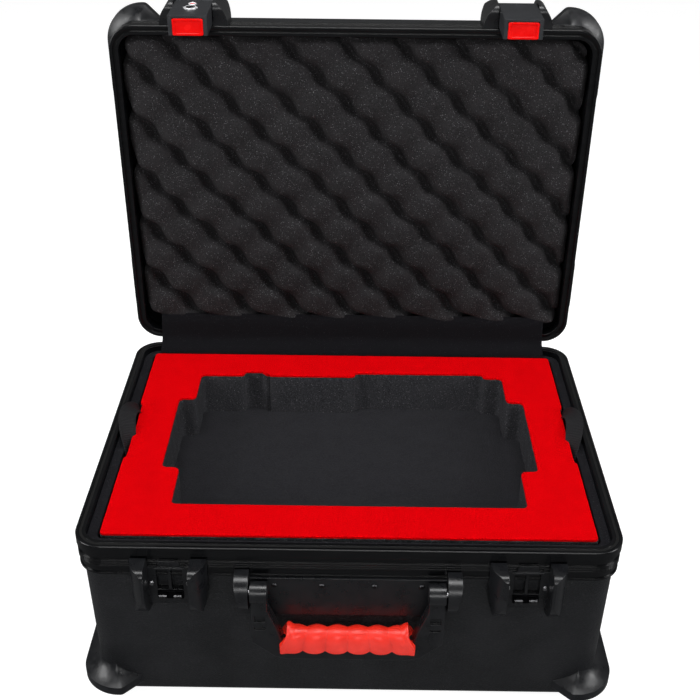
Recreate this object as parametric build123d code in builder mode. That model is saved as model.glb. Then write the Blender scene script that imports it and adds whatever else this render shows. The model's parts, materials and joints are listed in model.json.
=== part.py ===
"""Carrying case for a small drone: moulded base and lid with extruded rims, a hinged lid, two
guarded latches with push releases, a bail handle, and a lift-out foam tray with a cut-out.

Millimetres, +Z up. The origin is on the floor, at the middle of the open case's box.
The lid is drawn shut and written open, turned by LID_OPEN, so both states share one set of sizes.
"""

from build123d import *
import os

os.makedirs("parts", exist_ok=True)

# Overall sizes of the shut case
RIM_WIDTH = 520.0
RIM_DEPTH = 380.0
RIM_CORNER = 28.0
BASE_HEIGHT = 200.0  # floor to the top of the base rim
LID_HEIGHT = 62.0  # parting plane to the lid's outer face
RIM_GAP = 0.4  # between the two rims when shut
LID_ANGLE = 88.6  # how far the lid opens, in degrees
CASE_Y = -21.0  # the base's middle, in front of the open case's middle

# Moulded shells
SHELL_WALL = 4.0
BASE_UNDERSIDE = 2.0  # base shell's underside to the end of the feet
LID_RECESS = 6.0  # lid shell's outer face to the end of its corner bumpers
SHELL_INSET = 4.4  # shell face behind the rim's outermost face, at the rim
BASE_DRAFT = 4.1  # how much further in the base is at its underside
LID_DRAFT = 1.6
SHELL_EDGE_RADIUS = 9.0
FIT = 0.1  # gap between pieces that are fastened together

# Rims: an extrusion that wraps the edge of each shell
RIM_WALL_INSET = SHELL_INSET - FIT
RIM_FLANGE = 3.8
RIM_LEG = 15.0
RIM_LEG_THICKNESS = 1.0
RIM_LEG_GAP = 0.2 + RIM_LEG * max(LID_DRAFT / LID_HEIGHT, BASE_DRAFT / BASE_HEIGHT)
RIM_FACE = SHELL_INSET + SHELL_WALL + RIM_LEG_GAP + RIM_LEG_THICKNESS  # flat face seen when open
RIM_EDGE_RADIUS = 1.1
BASE_RIM_BANDS = [(10.0, 0.0), (6.5, 2.2), (8.1, 1.2), (7.4, 2.2), (2.0, 1.0)]
LID_RIM_BANDS = [(8.0, 0.0), (3.5, 2.2), (6.0, 1.2), (2.0, 2.2), (2.0, 1.0)]
RIB_INSET = 0.6
RIB_HEIGHT = 1.5
BASE_RIBS = 3
LID_RIBS = 2
SEAL_INSET = 3.6
SEAL_WIDTH = 2.8
SEAL_DEPTH = 2.0

# Corner bumpers, one shape for all eight corners
BUMPER_PROUD = 10.0
BUMPER_FRONT_LEG = 58.0
BUMPER_SIDE_LEG = 112.0
BUMPER_ARC_START = 30.0
BUMPER_NOSE = 34.0
BUMPER_ROOT = 14.0
BUMPER_CORE = 40.0
BUMPER_SECTIONS = [(0, 15), (15, 0), (25, 0), (29, 8), (35, 14), (44, 18.5), (54, 22)]

# Hinge along the back
HINGE_BEHIND = 3.3  # pin behind the rim's back face
HINGE_ABOVE = 3.0  # pin above the base rim
HINGE_LENGTH = 420.0
HINGE_KNUCKLES = 9
HINGE_GAP = 0.4
KNUCKLE_RADIUS = 3.0
HINGE_PIN_RADIUS = 1.4
PIN_CLEARANCE = 0.05
LEAF_THICKNESS = 1.6
LEAF_HEIGHT = 19.0
LEAF_RIVETS = 7

# Latches
LATCH_X = 169.0
ARM_HALF_WIDTH = 19.8
ARM_TIP = 38.8  # how far the arm reaches past the parting plane, over the base
ARM_BACK = 0.9
ARM_FRONT = 21.0
ARM_SIDE_WALL = 4.0
ARM_COVER = 2.4
ARM_HOLLOW_TOP = 12.0
ARM_PIVOT_HEIGHT = 22.0
ARM_PIVOT_OUT = 12.0
ARM_BARREL = 10.0
ARM_PIN_RADIUS = 2.0
GUARD_INNER = ARM_HALF_WIDTH + 0.8
GUARD_FOOT = GUARD_INNER + 15.4
GUARD_ROOT = 12.0  # how far the guards reach in, to be cut to the shell
GUARD_BULGE = 3.4  # fullness of a guard's outer curve, in from its foot
GUARD_RIDGE = 2.6
GUARD_HEIGHT = 23.0
GUARD_TIP = 3.0  # width of a guard at its far end
LATCH_PIN_HALF = GUARD_INNER + 3.4
BASE_GUARD_TOP = 13.0
BASE_GUARD_END = 77.0
LID_GUARD_TOP = 1.6
LID_GUARD_END = 55.0
KEEPER_TOP = 23.0
KEEPER_END = 68.0
KEEPER_FACE = 0.5
KEEPER_LEDGE_HALF = GUARD_INNER - 6.0
KEEPER_LEDGE = 1.8  # how far the ledge stands out, and its thickness
KEEPER_POCKET_TOP = 26.0
KEEPER_POCKET_END = 50.5
KEEPER_POCKET = 11.0
KEEPER_DIVIDER = 3.0
KEEPER_TAB_WIDTH = 22.0
KEEPER_TAB_HEIGHT = 6.8
KEEPER_RIVET = GUARD_INNER - 3.0
STRIKER_TOP = 51.8
STRIKER_HEIGHT = 9.4
STRIKER_WIDTH = 25.0
STRIKER_PLATE = 1.2
HOOK_SPACING = 14.0
HOOK_WIDTH = 7.6
HOOK_OUT = 6.4
HOOK_HEIGHT = 5.0
HOOK_WIRE = 1.3
TRIGGER_GAP = 0.5
TRIGGER_LENGTH = 11.0
TRIGGER_TRAVEL = 3.0
TRIGGER_START = 0.4  # trigger behind the arm's tip
TRIGGER_NECK = (20.0, 9.0, 4.0)
TRIGGER_STOP_DEPTH = 10.0
TRIGGER_STOP_THICKNESS = 2.0
LOCK_HEIGHT = 28.0  # key cylinder above the arm's tip
LOCK_RADIUS = 4.8
LOCK_RING = 7.5
INDICATOR_RADIUS = 2.6
INDICATOR_HEIGHT = 44.5

# Handle
HANDLE_PIVOT_DROP = 42.0  # below the parting plane
HANDLE_PIVOT_OUT = 12.0
HANDLE_HALF_WIDTH = 92.0
HANDLE_ARM = 16.0
HANDLE_BARREL = 10.4
HANDLE_DROP = 80.0  # pivot to the bail's lowest edge
HANDLE_SHOULDER = 58.0
HANDLE_ARM_END = 18.0  # below the pivot, where an arm's inner edge starts to slant
HANDLE_BAR = 24.0  # height of the bail's cross bar
HANDLE_SLOT_INSET = 8.6
HANDLE_SLOT_WIDTH = 10.6
HANDLE_SLOT_DEPTH = 2.0
HANDLE_SLOTS = [(27.5, 8.0), (39.6, 3.0)]  # middle below the pivot, height
MOUNT_TOP = 34.4
MOUNT_END = 80.0
MOUNT_FACE = 1.2
HANDLE_THICKNESS = 15.0
HANDLE_PIN_RADIUS = 3.0
EAR_GAP = 1.5
EAR_WIDTH = 13.5
EAR_RADIUS = 11.0
EAR_TOP = 25.0
EAR_END = 70.0
EAR_TIP = 6.5  # width of an ear at its lower end
EAR_BORE = 9.0  # depth of the pin's bore
GRIP_HALF_LENGTH = 66.0
GRIP_WIDTH = 25.0
GRIP_HEIGHT = 37.0
GRIP_ABOVE_BAIL = 3.0
RIVET_HEAD = 2.7
RIVET_SHANK = 1.5
RIVET_DROP = 43.2  # row of rivets below the parting plane

# Foam and lining
LINER_THICKNESS = 6.5
TRAY_GAP = 3.0
LINER_INNER = SHELL_INSET + BASE_DRAFT + SHELL_WALL + LINER_THICKNESS + 1.0
TRAY_HALF_X = RIM_WIDTH / 2 - LINER_INNER - TRAY_GAP
TRAY_HALF_Y = RIM_DEPTH / 2 - LINER_INNER - TRAY_GAP
TRAY_TOP_BELOW_RIM = 3.0
RED_LAYER = 2.5
TRAY_BODY = 49.2
TRAY_FLOOR = 8.0
TRAY_BOTTOM = BASE_HEIGHT - TRAY_TOP_BELOW_RIM - RED_LAYER - TRAY_BODY - TRAY_FLOOR
CUT_HALF_X = 176.0
CUT_FRONT = -120.5
CUT_BACK = 120.0
CUT_STEP = 18.5  # how much further the two ends of the cut-out reach
CUT_STEP_FRONT = -61.0
CUT_STEP_BACK = 69.0
CUT_CORNER = 5.0
FINGER_BAY = 8.0
FINGER_BAYS = [(-113.0, 25.0), (79.0, 150.0)]
STRAP_FRONT = -44.0
STRAP_BACK = 58.0
STRAP_NOTCH = 7.0
STRAP_THICKNESS = 4.0
STRAP_BELOW_RIM = 1.4
WELL_HALF_X = 150.0
WELL_HALF_Y = 100.0
WELL_DEPTH = 95.0
LID_FOAM_RECESS = 2.2
LID_FOAM_EDGE = 12.0
COVER_HALF_WIDTH = 230.0
COVER_STRIP = 22.0
COVER_THICKNESS = 1.4

HINGE_Y = RIM_DEPTH / 2 + HINGE_BEHIND
HINGE_Z = BASE_HEIGHT + HINGE_ABOVE
FRONT_FACE = -RIM_DEPTH / 2
LID_OPEN = (
    Location((0, CASE_Y + HINGE_Y, HINGE_Z))
    * Location((0, 0, 0), (-LID_ANGLE, 0, 0))
    * Location((0, -CASE_Y - HINGE_Y, -HINGE_Z))
)


def base_level(depth):
    """A level plane of the base, depth below the parting plane, facing down."""
    return Plane(origin=(0, CASE_Y, BASE_HEIGHT - depth), x_dir=(1, 0, 0), z_dir=(0, 0, -1))


def lid_level(depth):
    """A level plane of the lid, depth above the parting plane, facing away from it."""
    height = BASE_HEIGHT + RIM_GAP + depth
    return Plane(origin=(0, CASE_Y, height), x_dir=(1, 0, 0), z_dir=(0, 0, 1))


def base_side(x):
    """An upright plane across the case: its x runs outwards from the front, its y up."""
    return Plane(origin=(x, CASE_Y + FRONT_FACE, BASE_HEIGHT), x_dir=(0, -1, 0), z_dir=(-1, 0, 0))


def lid_side(x):
    """The same plane for the lid, with y up from the lid's own edge."""
    origin = (x, CASE_Y + FRONT_FACE, BASE_HEIGHT + RIM_GAP)
    return Plane(origin=origin, x_dir=(0, -1, 0), z_dir=(-1, 0, 0))


def base_front(out):
    """A plane parallel to the front, out in front of the rim: x to the right, y up."""
    return Plane(origin=(0, CASE_Y + FRONT_FACE - out, BASE_HEIGHT), x_dir=(1, 0, 0), z_dir=(0, -1, 0))


def lid_front(out):
    """The same plane for the lid, with y up from the lid's own edge."""
    origin = (0, CASE_Y + FRONT_FACE - out, BASE_HEIGHT + RIM_GAP)
    return Plane(origin=origin, x_dir=(1, 0, 0), z_dir=(0, -1, 0))


def case_outline(inset, mode=Mode.ADD):
    """The case's plan outline, drawn in by inset."""
    corner = max(RIM_CORNER - inset, 4.0)
    RectangleRounded(RIM_WIDTH - 2 * inset, RIM_DEPTH - 2 * inset, corner, mode=mode)


def save(piece, name):
    """Labels a finished piece and writes it."""
    piece.label = name
    export_step(piece, "parts/" + name + ".step")


def save_open(piece, name):
    """Turns a piece of the lid to where it stands in the open case, and writes it."""
    save(piece.moved(LID_OPEN), name)


def rim_depth(bands):
    """How deep a rim is: its bands added up."""
    return sum(height for height, inset in bands)


def shell(level, far, draft):
    """A drafted open tray with a rounded outer edge; level gives its planes."""
    near = RIM_FLANGE + FIT
    with BuildPart() as tray:
        with BuildSketch(level(near)):
            case_outline(SHELL_INSET)
        with BuildSketch(level(far)):
            case_outline(SHELL_INSET + draft)
        loft()
        outward = Axis(level(near).origin, level(near).z_dir)
        fillet(tray.faces().sort_by(outward)[-1].edges(), SHELL_EDGE_RADIUS)
        with BuildSketch(level(near)):
            case_outline(SHELL_INSET + SHELL_WALL)
        with BuildSketch(level(far - SHELL_WALL)):
            case_outline(SHELL_INSET + draft + SHELL_WALL)
        loft(mode=Mode.SUBTRACT)
    return tray.part


def envelope(level, far, draft, bands):
    """The space that a shell and its rim fill, with the fit gap round them."""
    with BuildPart() as space:
        with BuildSketch(level(RIM_FLANGE)):
            case_outline(SHELL_INSET - FIT)
        with BuildSketch(level(far + FIT)):
            case_outline(SHELL_INSET + draft - FIT)
        loft()
        with BuildSketch(level(0)):
            case_outline(-FIT)
        extrude(amount=bands[0][0] + FIT)
        with BuildSketch(level(0)):
            case_outline(RIB_INSET - FIT)
        extrude(amount=rim_depth(bands) + FIT)
    return space.part


def rim(level, bands, ribs):
    """An extruded rim: an outer wall in bands, ribs on one band, a flange and an inner leg."""
    with BuildPart() as frame:
        depth = 0.0
        for number, (height, inset) in enumerate(bands):
            with BuildSketch(level(depth)):
                case_outline(inset)
                case_outline(RIM_WALL_INSET, mode=Mode.SUBTRACT)
            extrude(amount=height)
            if number == 2:
                pitch = height / ribs
                for rib in range(ribs):
                    with BuildSketch(level(depth + pitch * (rib + 0.5) - RIB_HEIGHT / 2)):
                        case_outline(RIB_INSET)
                        case_outline(RIM_WALL_INSET, mode=Mode.SUBTRACT)
                    extrude(amount=RIB_HEIGHT)
            depth += height
        with BuildSketch(level(0)):
            case_outline(0)
            case_outline(RIM_FACE, mode=Mode.SUBTRACT)
        extrude(amount=RIM_FLANGE)
        with BuildSketch(level(0)):
            case_outline(RIM_FACE - RIM_LEG_THICKNESS)
            case_outline(RIM_FACE, mode=Mode.SUBTRACT)
        extrude(amount=RIM_LEG)
        outward = Axis(level(0).origin, level(0).z_dir)
        mating = frame.faces().sort_by(outward)[0]
        fillet(mating.outer_wire().edges(), RIM_EDGE_RADIUS)
        with BuildSketch(level(0)):
            case_outline(SEAL_INSET)
            case_outline(SEAL_INSET + SEAL_WIDTH, mode=Mode.SUBTRACT)
        extrude(amount=SEAL_DEPTH, mode=Mode.SUBTRACT)
    return frame.part


def bumper_section(plane, inset, side_x, side_y):
    """A bumper's plan, filled in behind: a slanted nose, a big arc, a leg along the side."""

    def at(across, along):
        return side_x * (RIM_WIDTH / 2 - across), side_y * (RIM_DEPTH / 2 - along)

    proud = inset - BUMPER_PROUD
    slant = inset * 1.41
    tuck = inset * 0.41
    root = at(BUMPER_FRONT_LEG - slant, BUMPER_ROOT)
    nose = at(BUMPER_NOSE - tuck, proud)
    turn = at(proud, BUMPER_ARC_START)
    heel = at(proud, BUMPER_SIDE_LEG - BUMPER_ROOT - BUMPER_PROUD - tuck)
    tail = at(BUMPER_ROOT, BUMPER_SIDE_LEG - slant)
    inner_tail = at(BUMPER_CORE, BUMPER_SIDE_LEG - slant)
    inner_root = at(BUMPER_FRONT_LEG - slant, BUMPER_CORE)
    with BuildSketch(plane) as section:
        with BuildLine():
            Line(root, nose)
            TangentArc(turn, nose, tangent=(0, side_y))
            Polyline(turn, heel, tail, inner_tail, inner_root, root)
        make_face()
    return section.sketch


def bumper(level, far, side_x, side_y, body):
    """One corner bumper, lofted through its sections and cut to fit the shell."""
    faces = [bumper_section(level(far - h), inset, side_x, side_y) for h, inset in BUMPER_SECTIONS]
    with BuildPart() as block:
        loft(sections=[face.faces()[0] for face in faces], ruled=True)
        add(body, mode=Mode.SUBTRACT)
    return block.part.solids().sort_by(SortBy.VOLUME)[-1]


def guard_pair(level, side, front, top, end, centre, body):
    """Two curved fins that stand each side of a latch, and narrow to a tip at their far end."""
    toward = 1 if level is base_level else -1
    with BuildPart() as fins:
        for hand in (-1, 1):
            inner = centre + hand * GUARD_INNER
            foot = centre + hand * GUARD_FOOT
            ridge = inner + hand * GUARD_RIDGE
            bulge = foot - hand * GUARD_BULGE
            face = RIM_DEPTH / 2

            def spot(x, out):
                return x, toward * (face + out)

            shoulder = spot(bulge, GUARD_HEIGHT * 0.58)
            with BuildSketch(level(top)):
                with BuildLine():
                    ThreePointArc(spot(foot, -1), shoulder, spot(ridge, GUARD_HEIGHT))
                    Polyline(
                        spot(ridge, GUARD_HEIGHT),
                        spot(inner, GUARD_HEIGHT),
                        spot(inner, -GUARD_ROOT),
                        spot(foot, -GUARD_ROOT),
                        spot(foot, -1),
                    )
                make_face()
            extrude(amount=end - top)
        with BuildSketch(side(centre + 2 * GUARD_FOOT)):
            reach = GUARD_HEIGHT + 1
            sign = -1 if level is base_level else 1
            with BuildLine():
                Polyline(
                    (-13, sign * end),
                    (-13, sign * top),
                    (reach - 8, sign * top),
                )
                ThreePointArc(
                    (reach - 8, sign * top),
                    (reach - 2.4, sign * (top + 2.6)),
                    (reach, sign * (top + 9)),
                )
                Line((reach, sign * (top + 9)), (reach, sign * (top + (end - top) * 0.42)))
                ThreePointArc(
                    (reach, sign * (top + (end - top) * 0.42)),
                    (reach * 0.72, sign * (top + (end - top) * 0.76)),
                    (-5, sign * end),
                )
                Line((-5, sign * end), (-13, sign * end))
            make_face()
        extrude(amount=4 * GUARD_FOOT, mode=Mode.INTERSECT)
        length = end - top
        with BuildSketch(front(GUARD_HEIGHT + 2)):
            for hand in (-1, 1):
                within = centre + hand * (GUARD_INNER - 1)
                beyond = centre + hand * (GUARD_FOOT + 1)
                full = centre + hand * (GUARD_INNER + 0.78 * (GUARD_FOOT - GUARD_INNER))
                point = centre + hand * (GUARD_INNER + GUARD_TIP)
                narrows = sign * (top + 0.45 * length)
                curve = (full, sign * (top + 0.8 * length))
                with BuildLine():
                    ThreePointArc((beyond, narrows), curve, (point, sign * end))
                    Polyline(
                        (point, sign * end),
                        (within, sign * end),
                        (within, sign * top),
                        (beyond, sign * top),
                        (beyond, narrows),
                    )
                make_face()
        extrude(amount=-2 * GUARD_HEIGHT, mode=Mode.INTERSECT)
        add(body, mode=Mode.SUBTRACT)
    return fins.part


# Bodies that other pieces are cut to fit
lid_rim_depth = rim_depth(LID_RIM_BANDS)
base_far = BASE_HEIGHT - BASE_UNDERSIDE
base_space = envelope(base_level, base_far, BASE_DRAFT, BASE_RIM_BANDS)
lid_space = envelope(lid_level, LID_HEIGHT, LID_DRAFT, LID_RIM_BANDS)

# Shells and rims
keeper_rivet_spots = [
    (side * LATCH_X + off, -RIVET_DROP) for side in (-1, 1) for off in (-KEEPER_RIVET, KEEPER_RIVET)
]
handle_rivet_spots = [(across, -RIVET_DROP) for across in (-70, -25, 25, 70)]
with BuildPart() as base_shell:
    add(shell(base_level, base_far, BASE_DRAFT))
    with Locations(base_front(-20)):
        with Locations(*keeper_rivet_spots, *handle_rivet_spots):
            Cylinder(RIVET_SHANK + 0.05, 60, mode=Mode.SUBTRACT)
save(base_shell.part, "base_shell")

lid_shell = shell(lid_level, LID_HEIGHT, LID_DRAFT)
save_open(lid_shell, "lid_shell")


def rivet_holes(plane, spots):
    """Bores for rivet shanks, through whatever the plane's spots stand on."""
    with BuildPart() as bores:
        with Locations(plane):
            with Locations(*spots):
                Cylinder(RIVET_SHANK + 0.05, 14)
    return bores.part


def rivets(plane, spots, shank):
    """Domed rivets: the heads stand on the plane, the shanks go back from it."""
    with BuildPart() as group:
        with Locations(plane):
            with Locations(*spots):
                Cylinder(RIVET_SHANK, shank, align=(Align.CENTER, Align.CENTER, Align.MAX))
        with BuildSketch(plane):
            with Locations(*spots):
                Circle(RIVET_HEAD)
        extrude(amount=1.3, taper=32)
    return group.part


leaf_half = HINGE_LENGTH / 2 - 20
leaf_step = 2 * leaf_half / (LEAF_RIVETS - 1)
base_leaf_spots = [(-leaf_half + n * leaf_step, -7.0) for n in range(LEAF_RIVETS)]
lid_leaf_spots = [(-leaf_half + n * leaf_step, 10.4) for n in range(LEAF_RIVETS)]


def back(out):
    """A plane parallel to the back, out behind the rim: it faces backwards, y up."""
    return Plane(origin=(0, CASE_Y - FRONT_FACE + out, BASE_HEIGHT), x_dir=(-1, 0, 0), z_dir=(0, 1, 0))


with BuildPart() as base_rim:
    add(rim(base_level, BASE_RIM_BANDS, BASE_RIBS))
    add(rivet_holes(back(0), base_leaf_spots), mode=Mode.SUBTRACT)
save(base_rim.part, "base_rim")

with BuildPart() as lid_rim:
    add(rim(lid_level, LID_RIM_BANDS, LID_RIBS))
    add(rivet_holes(back(0), lid_leaf_spots), mode=Mode.SUBTRACT)
save_open(lid_rim.part, "lid_rim")

for row, front in (("front", 1), ("back", -1)):
    for column, side_x in (("left", -1), ("right", 1)):
        base_piece = bumper(base_level, BASE_HEIGHT, side_x, front, base_space)
        save(base_piece, "base_bumper_" + row + "_" + column)
        lid_piece = bumper(lid_level, LID_HEIGHT + LID_RECESS, side_x, -front, lid_space)
        save_open(lid_piece, "lid_bumper_" + row + "_" + column)

# Weather seal in the base rim's groove
with BuildPart() as rim_seal:
    with BuildSketch(base_level(0.3)):
        case_outline(SEAL_INSET + FIT)
        case_outline(SEAL_INSET + SEAL_WIDTH - FIT, mode=Mode.SUBTRACT)
    extrude(amount=SEAL_DEPTH - 0.4)
save(rim_seal.part, "rim_seal")


# Piano hinge
def knuckles(first):
    """Every other knuckle of the hinge, starting at first."""
    pitch = HINGE_LENGTH / HINGE_KNUCKLES
    origin = (-HINGE_LENGTH / 2, CASE_Y + HINGE_Y, HINGE_Z)
    with BuildPart() as barrels:
        for number in range(first, HINGE_KNUCKLES, 2):
            start = Vector(*origin) + Vector(pitch * number + HINGE_GAP / 2, 0, 0)
            with BuildSketch(Plane(origin=start, x_dir=(0, 1, 0), z_dir=(1, 0, 0))):
                Circle(KNUCKLE_RADIUS)
            extrude(amount=pitch - HINGE_GAP)
    return barrels.part


def hinge_leaf(plane, first, low, high, spots):
    """A leaf with its knuckles, relieved round the other leaf's knuckles, bored for the pin."""
    pitch = HINGE_LENGTH / HINGE_KNUCKLES
    with BuildPart() as leaf:
        with BuildSketch(plane):
            with Locations((0, (low + high) / 2)):
                Rectangle(HINGE_LENGTH - HINGE_GAP, high - low)
        extrude(amount=LEAF_THICKNESS)
        for number in range(1 - first, HINGE_KNUCKLES, 2):
            middle = -HINGE_LENGTH / 2 + pitch * (number + 0.5)
            with Locations((middle, CASE_Y + HINGE_Y, HINGE_Z)):
                Box(pitch + HINGE_GAP, 2 * KNUCKLE_RADIUS + 1, 2 * KNUCKLE_RADIUS + 1, mode=Mode.SUBTRACT)
        add(knuckles(first))
        with Locations((0, CASE_Y + HINGE_Y, HINGE_Z)):
            Cylinder(
                HINGE_PIN_RADIUS + PIN_CLEARANCE, HINGE_LENGTH + 2, rotation=(0, 90, 0), mode=Mode.SUBTRACT
            )
        add(rivet_holes(plane, spots), mode=Mode.SUBTRACT)
    return leaf.part


base_leaf = hinge_leaf(back(FIT), 0, HINGE_ABOVE - LEAF_HEIGHT, HINGE_ABOVE, base_leaf_spots)
save(base_leaf, "base_hinge_leaf")
lid_leaf = hinge_leaf(back(FIT), 1, HINGE_ABOVE, HINGE_ABOVE + LEAF_HEIGHT - 2, lid_leaf_spots)
save_open(lid_leaf, "lid_hinge_leaf")
save(rivets(back(FIT + LEAF_THICKNESS), base_leaf_spots, 5.0), "base_hinge_rivets")
save_open(rivets(back(FIT + LEAF_THICKNESS), lid_leaf_spots, 5.0), "lid_hinge_rivets")
with BuildPart() as hinge_pin:
    with Locations((0, CASE_Y + HINGE_Y, HINGE_Z)):
        Cylinder(HINGE_PIN_RADIUS, HINGE_LENGTH, rotation=(0, 90, 0))
save(hinge_pin.part, "hinge_pin")

# Latch guards on both halves, and the keepers between the base's guards
for hand, name in ((-1, "left"), (1, "right")):
    centre = hand * LATCH_X
    pair = guard_pair(
        base_level, base_side, base_front, BASE_GUARD_TOP, BASE_GUARD_END, centre, base_space
    )
    spots = keeper_rivet_spots[:2] if hand < 0 else keeper_rivet_spots[2:]
    with BuildPart() as keeper:
        add(pair)
        with BuildSketch(base_front(KEEPER_FACE)):
            with Locations((centre, -(KEEPER_TOP + KEEPER_END) / 2)):
                Rectangle(2 * GUARD_INNER, KEEPER_END - KEEPER_TOP)
            with Locations((centre, -KEEPER_TOP + KEEPER_TAB_HEIGHT / 2)):
                Trapezoid(KEEPER_TAB_WIDTH, KEEPER_TAB_HEIGHT, 72)
        extrude(amount=-GUARD_ROOT)
        with BuildSketch(base_front(KEEPER_FACE + KEEPER_LEDGE)):
            with Locations((centre, -KEEPER_TOP - KEEPER_LEDGE / 2)):
                Rectangle(2 * KEEPER_LEDGE_HALF, KEEPER_LEDGE)
        extrude(amount=-KEEPER_LEDGE)
        with BuildSketch(base_front(KEEPER_FACE)):
            with Locations((centre, -(KEEPER_POCKET_TOP + KEEPER_POCKET_END) / 2)):
                with GridLocations(KEEPER_POCKET + KEEPER_DIVIDER, 0, 2, 1):
                    RectangleRounded(KEEPER_POCKET, KEEPER_POCKET_END - KEEPER_POCKET_TOP, 1.5)
        extrude(amount=-GUARD_ROOT, mode=Mode.SUBTRACT)
        add(base_space, mode=Mode.SUBTRACT)
        add(rivet_holes(base_front(KEEPER_FACE), spots), mode=Mode.SUBTRACT)
    save(keeper.part, "keeper_" + name)
    save(rivets(base_front(KEEPER_FACE), spots, 7.6), "keeper_rivets_" + name)
    hook_back = KEEPER_FACE + FIT + STRIKER_PLATE / 2
    hook_middle = -STRIKER_TOP - STRIKER_HEIGHT / 2
    with BuildPart() as striker:
        with BuildSketch(base_front(KEEPER_FACE + FIT)):
            with Locations((centre, hook_middle)):
                RectangleRounded(STRIKER_WIDTH, STRIKER_HEIGHT, 1.5)
        extrude(amount=STRIKER_PLATE)
        for off in (-HOOK_SPACING / 2, HOOK_SPACING / 2):
            with BuildSketch(base_side(centre + off + HOOK_WIDTH / 2)):
                with Locations(((hook_back + HOOK_OUT) / 2, hook_middle)):
                    RectangleRounded(HOOK_OUT - hook_back, HOOK_HEIGHT, 1.6)
                    offset(amount=-HOOK_WIRE, mode=Mode.SUBTRACT)
            extrude(amount=HOOK_WIDTH)
    save(striker.part, "striker_" + name)

    housing = guard_pair(lid_level, lid_side, lid_front, LID_GUARD_TOP, LID_GUARD_END, centre, lid_space)
    pin_place = lid_side(centre + LATCH_PIN_HALF)
    with BuildPart() as latch_housing:
        add(housing)
        with BuildSketch(lid_front(-1.4)):
            with Locations((centre, (lid_rim_depth + 1 + LID_GUARD_END) / 2)):
                Rectangle(2 * GUARD_INNER + 2, LID_GUARD_END - lid_rim_depth - 1)
        extrude(amount=-GUARD_ROOT)
        add(lid_space, mode=Mode.SUBTRACT)
        with BuildSketch(pin_place):
            with Locations((ARM_PIVOT_OUT, ARM_PIVOT_HEIGHT)):
                Circle(ARM_PIN_RADIUS + PIN_CLEARANCE)
        extrude(amount=2 * LATCH_PIN_HALF, mode=Mode.SUBTRACT)
    save_open(latch_housing.part, "latch_housing_" + name)
    with BuildPart() as latch_pin:
        with BuildSketch(pin_place):
            with Locations((ARM_PIVOT_OUT, ARM_PIVOT_HEIGHT)):
                Circle(ARM_PIN_RADIUS)
        extrude(amount=2 * LATCH_PIN_HALF)
    save_open(latch_pin.part, "latch_pin_" + name)

    # The arm: a cover open at its back and tip, with a barrel round the pin
    tip = -ARM_TIP - RIM_GAP
    pivot_out, pivot_up = ARM_PIVOT_OUT, ARM_PIVOT_HEIGHT
    barrel_side = (pivot_out - ARM_BARREL, pivot_up)
    barrel_top = (pivot_out + 1, pivot_up + ARM_BARREL)
    with BuildPart() as latch_arm:
        with BuildSketch(lid_side(centre + ARM_HALF_WIDTH)):
            with BuildLine():
                Polyline(barrel_side, (ARM_BACK, tip), (ARM_FRONT, tip), (ARM_FRONT, pivot_up - 5))
                ThreePointArc((ARM_FRONT, pivot_up - 5), (pivot_out + 7, pivot_up + 5.6), barrel_top)
                ThreePointArc(barrel_top, (pivot_out - 7.2, pivot_up + 7.0), barrel_side)
            make_face()
        extrude(amount=2 * ARM_HALF_WIDTH)
        with BuildSketch(lid_front(ARM_FRONT - ARM_COVER)):
            with Locations((centre, (tip - 1 + ARM_HOLLOW_TOP) / 2)):
                Rectangle(2 * (ARM_HALF_WIDTH - ARM_SIDE_WALL), ARM_HOLLOW_TOP - tip + 1)
        extrude(amount=-ARM_FRONT, mode=Mode.SUBTRACT)
        with BuildSketch(lid_side(centre + ARM_HALF_WIDTH + 1)):
            with Locations((ARM_PIVOT_OUT, ARM_PIVOT_HEIGHT)):
                Circle(ARM_PIN_RADIUS + PIN_CLEARANCE)
        extrude(amount=2 * ARM_HALF_WIDTH + 2, mode=Mode.SUBTRACT)
        if hand < 0:
            with Locations(lid_front(ARM_FRONT)):
                with Locations((centre, tip + LOCK_HEIGHT)):
                    Cylinder(LOCK_RADIUS + 0.1, 20, mode=Mode.SUBTRACT)
                with Locations((centre, tip + INDICATOR_HEIGHT)):
                    Cylinder(INDICATOR_RADIUS + 0.1, 20, mode=Mode.SUBTRACT)
    save_open(latch_arm.part, "latch_arm_" + name)

    # The trigger fills the arm's tip; a steel catch stands behind it
    trigger_half = ARM_HALF_WIDTH - ARM_SIDE_WALL - TRIGGER_GAP
    trigger_front = ARM_FRONT - ARM_COVER - TRIGGER_GAP
    with BuildPart() as trigger:
        with BuildSketch(lid_front(trigger_front)):
            with Locations((centre, tip + TRIGGER_START + TRIGGER_LENGTH / 2)):
                Rectangle(2 * trigger_half, TRIGGER_LENGTH)
        extrude(amount=ARM_BACK - trigger_front)
        inward = Axis(lid_level(0).origin, lid_level(0).z_dir)
        fillet(trigger.faces().sort_by(inward)[0].edges(), 1.2)
        with BuildSketch(lid_level(tip + TRIGGER_START + TRIGGER_LENGTH)):
            with Locations((centre, FRONT_FACE - (trigger_front + ARM_BACK) / 2)):
                Rectangle(TRIGGER_NECK[0], TRIGGER_NECK[1])
        extrude(amount=TRIGGER_NECK[2])
    save_open(trigger.part, "latch_trigger_" + name)
    neck_end = tip + TRIGGER_START + TRIGGER_LENGTH + TRIGGER_NECK[2]
    stop_middle = FRONT_FACE - ARM_FRONT + ARM_COVER + FIT + TRIGGER_STOP_DEPTH / 2
    with BuildPart() as trigger_stop:
        with BuildSketch(lid_level(neck_end + TRIGGER_TRAVEL + 0.3)):
            with Locations((centre, stop_middle)):
                Rectangle(2 * (ARM_HALF_WIDTH - ARM_SIDE_WALL), TRIGGER_STOP_DEPTH)
        extrude(amount=TRIGGER_STOP_THICKNESS)
    save_open(trigger_stop.part, "trigger_stop_" + name)

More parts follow.
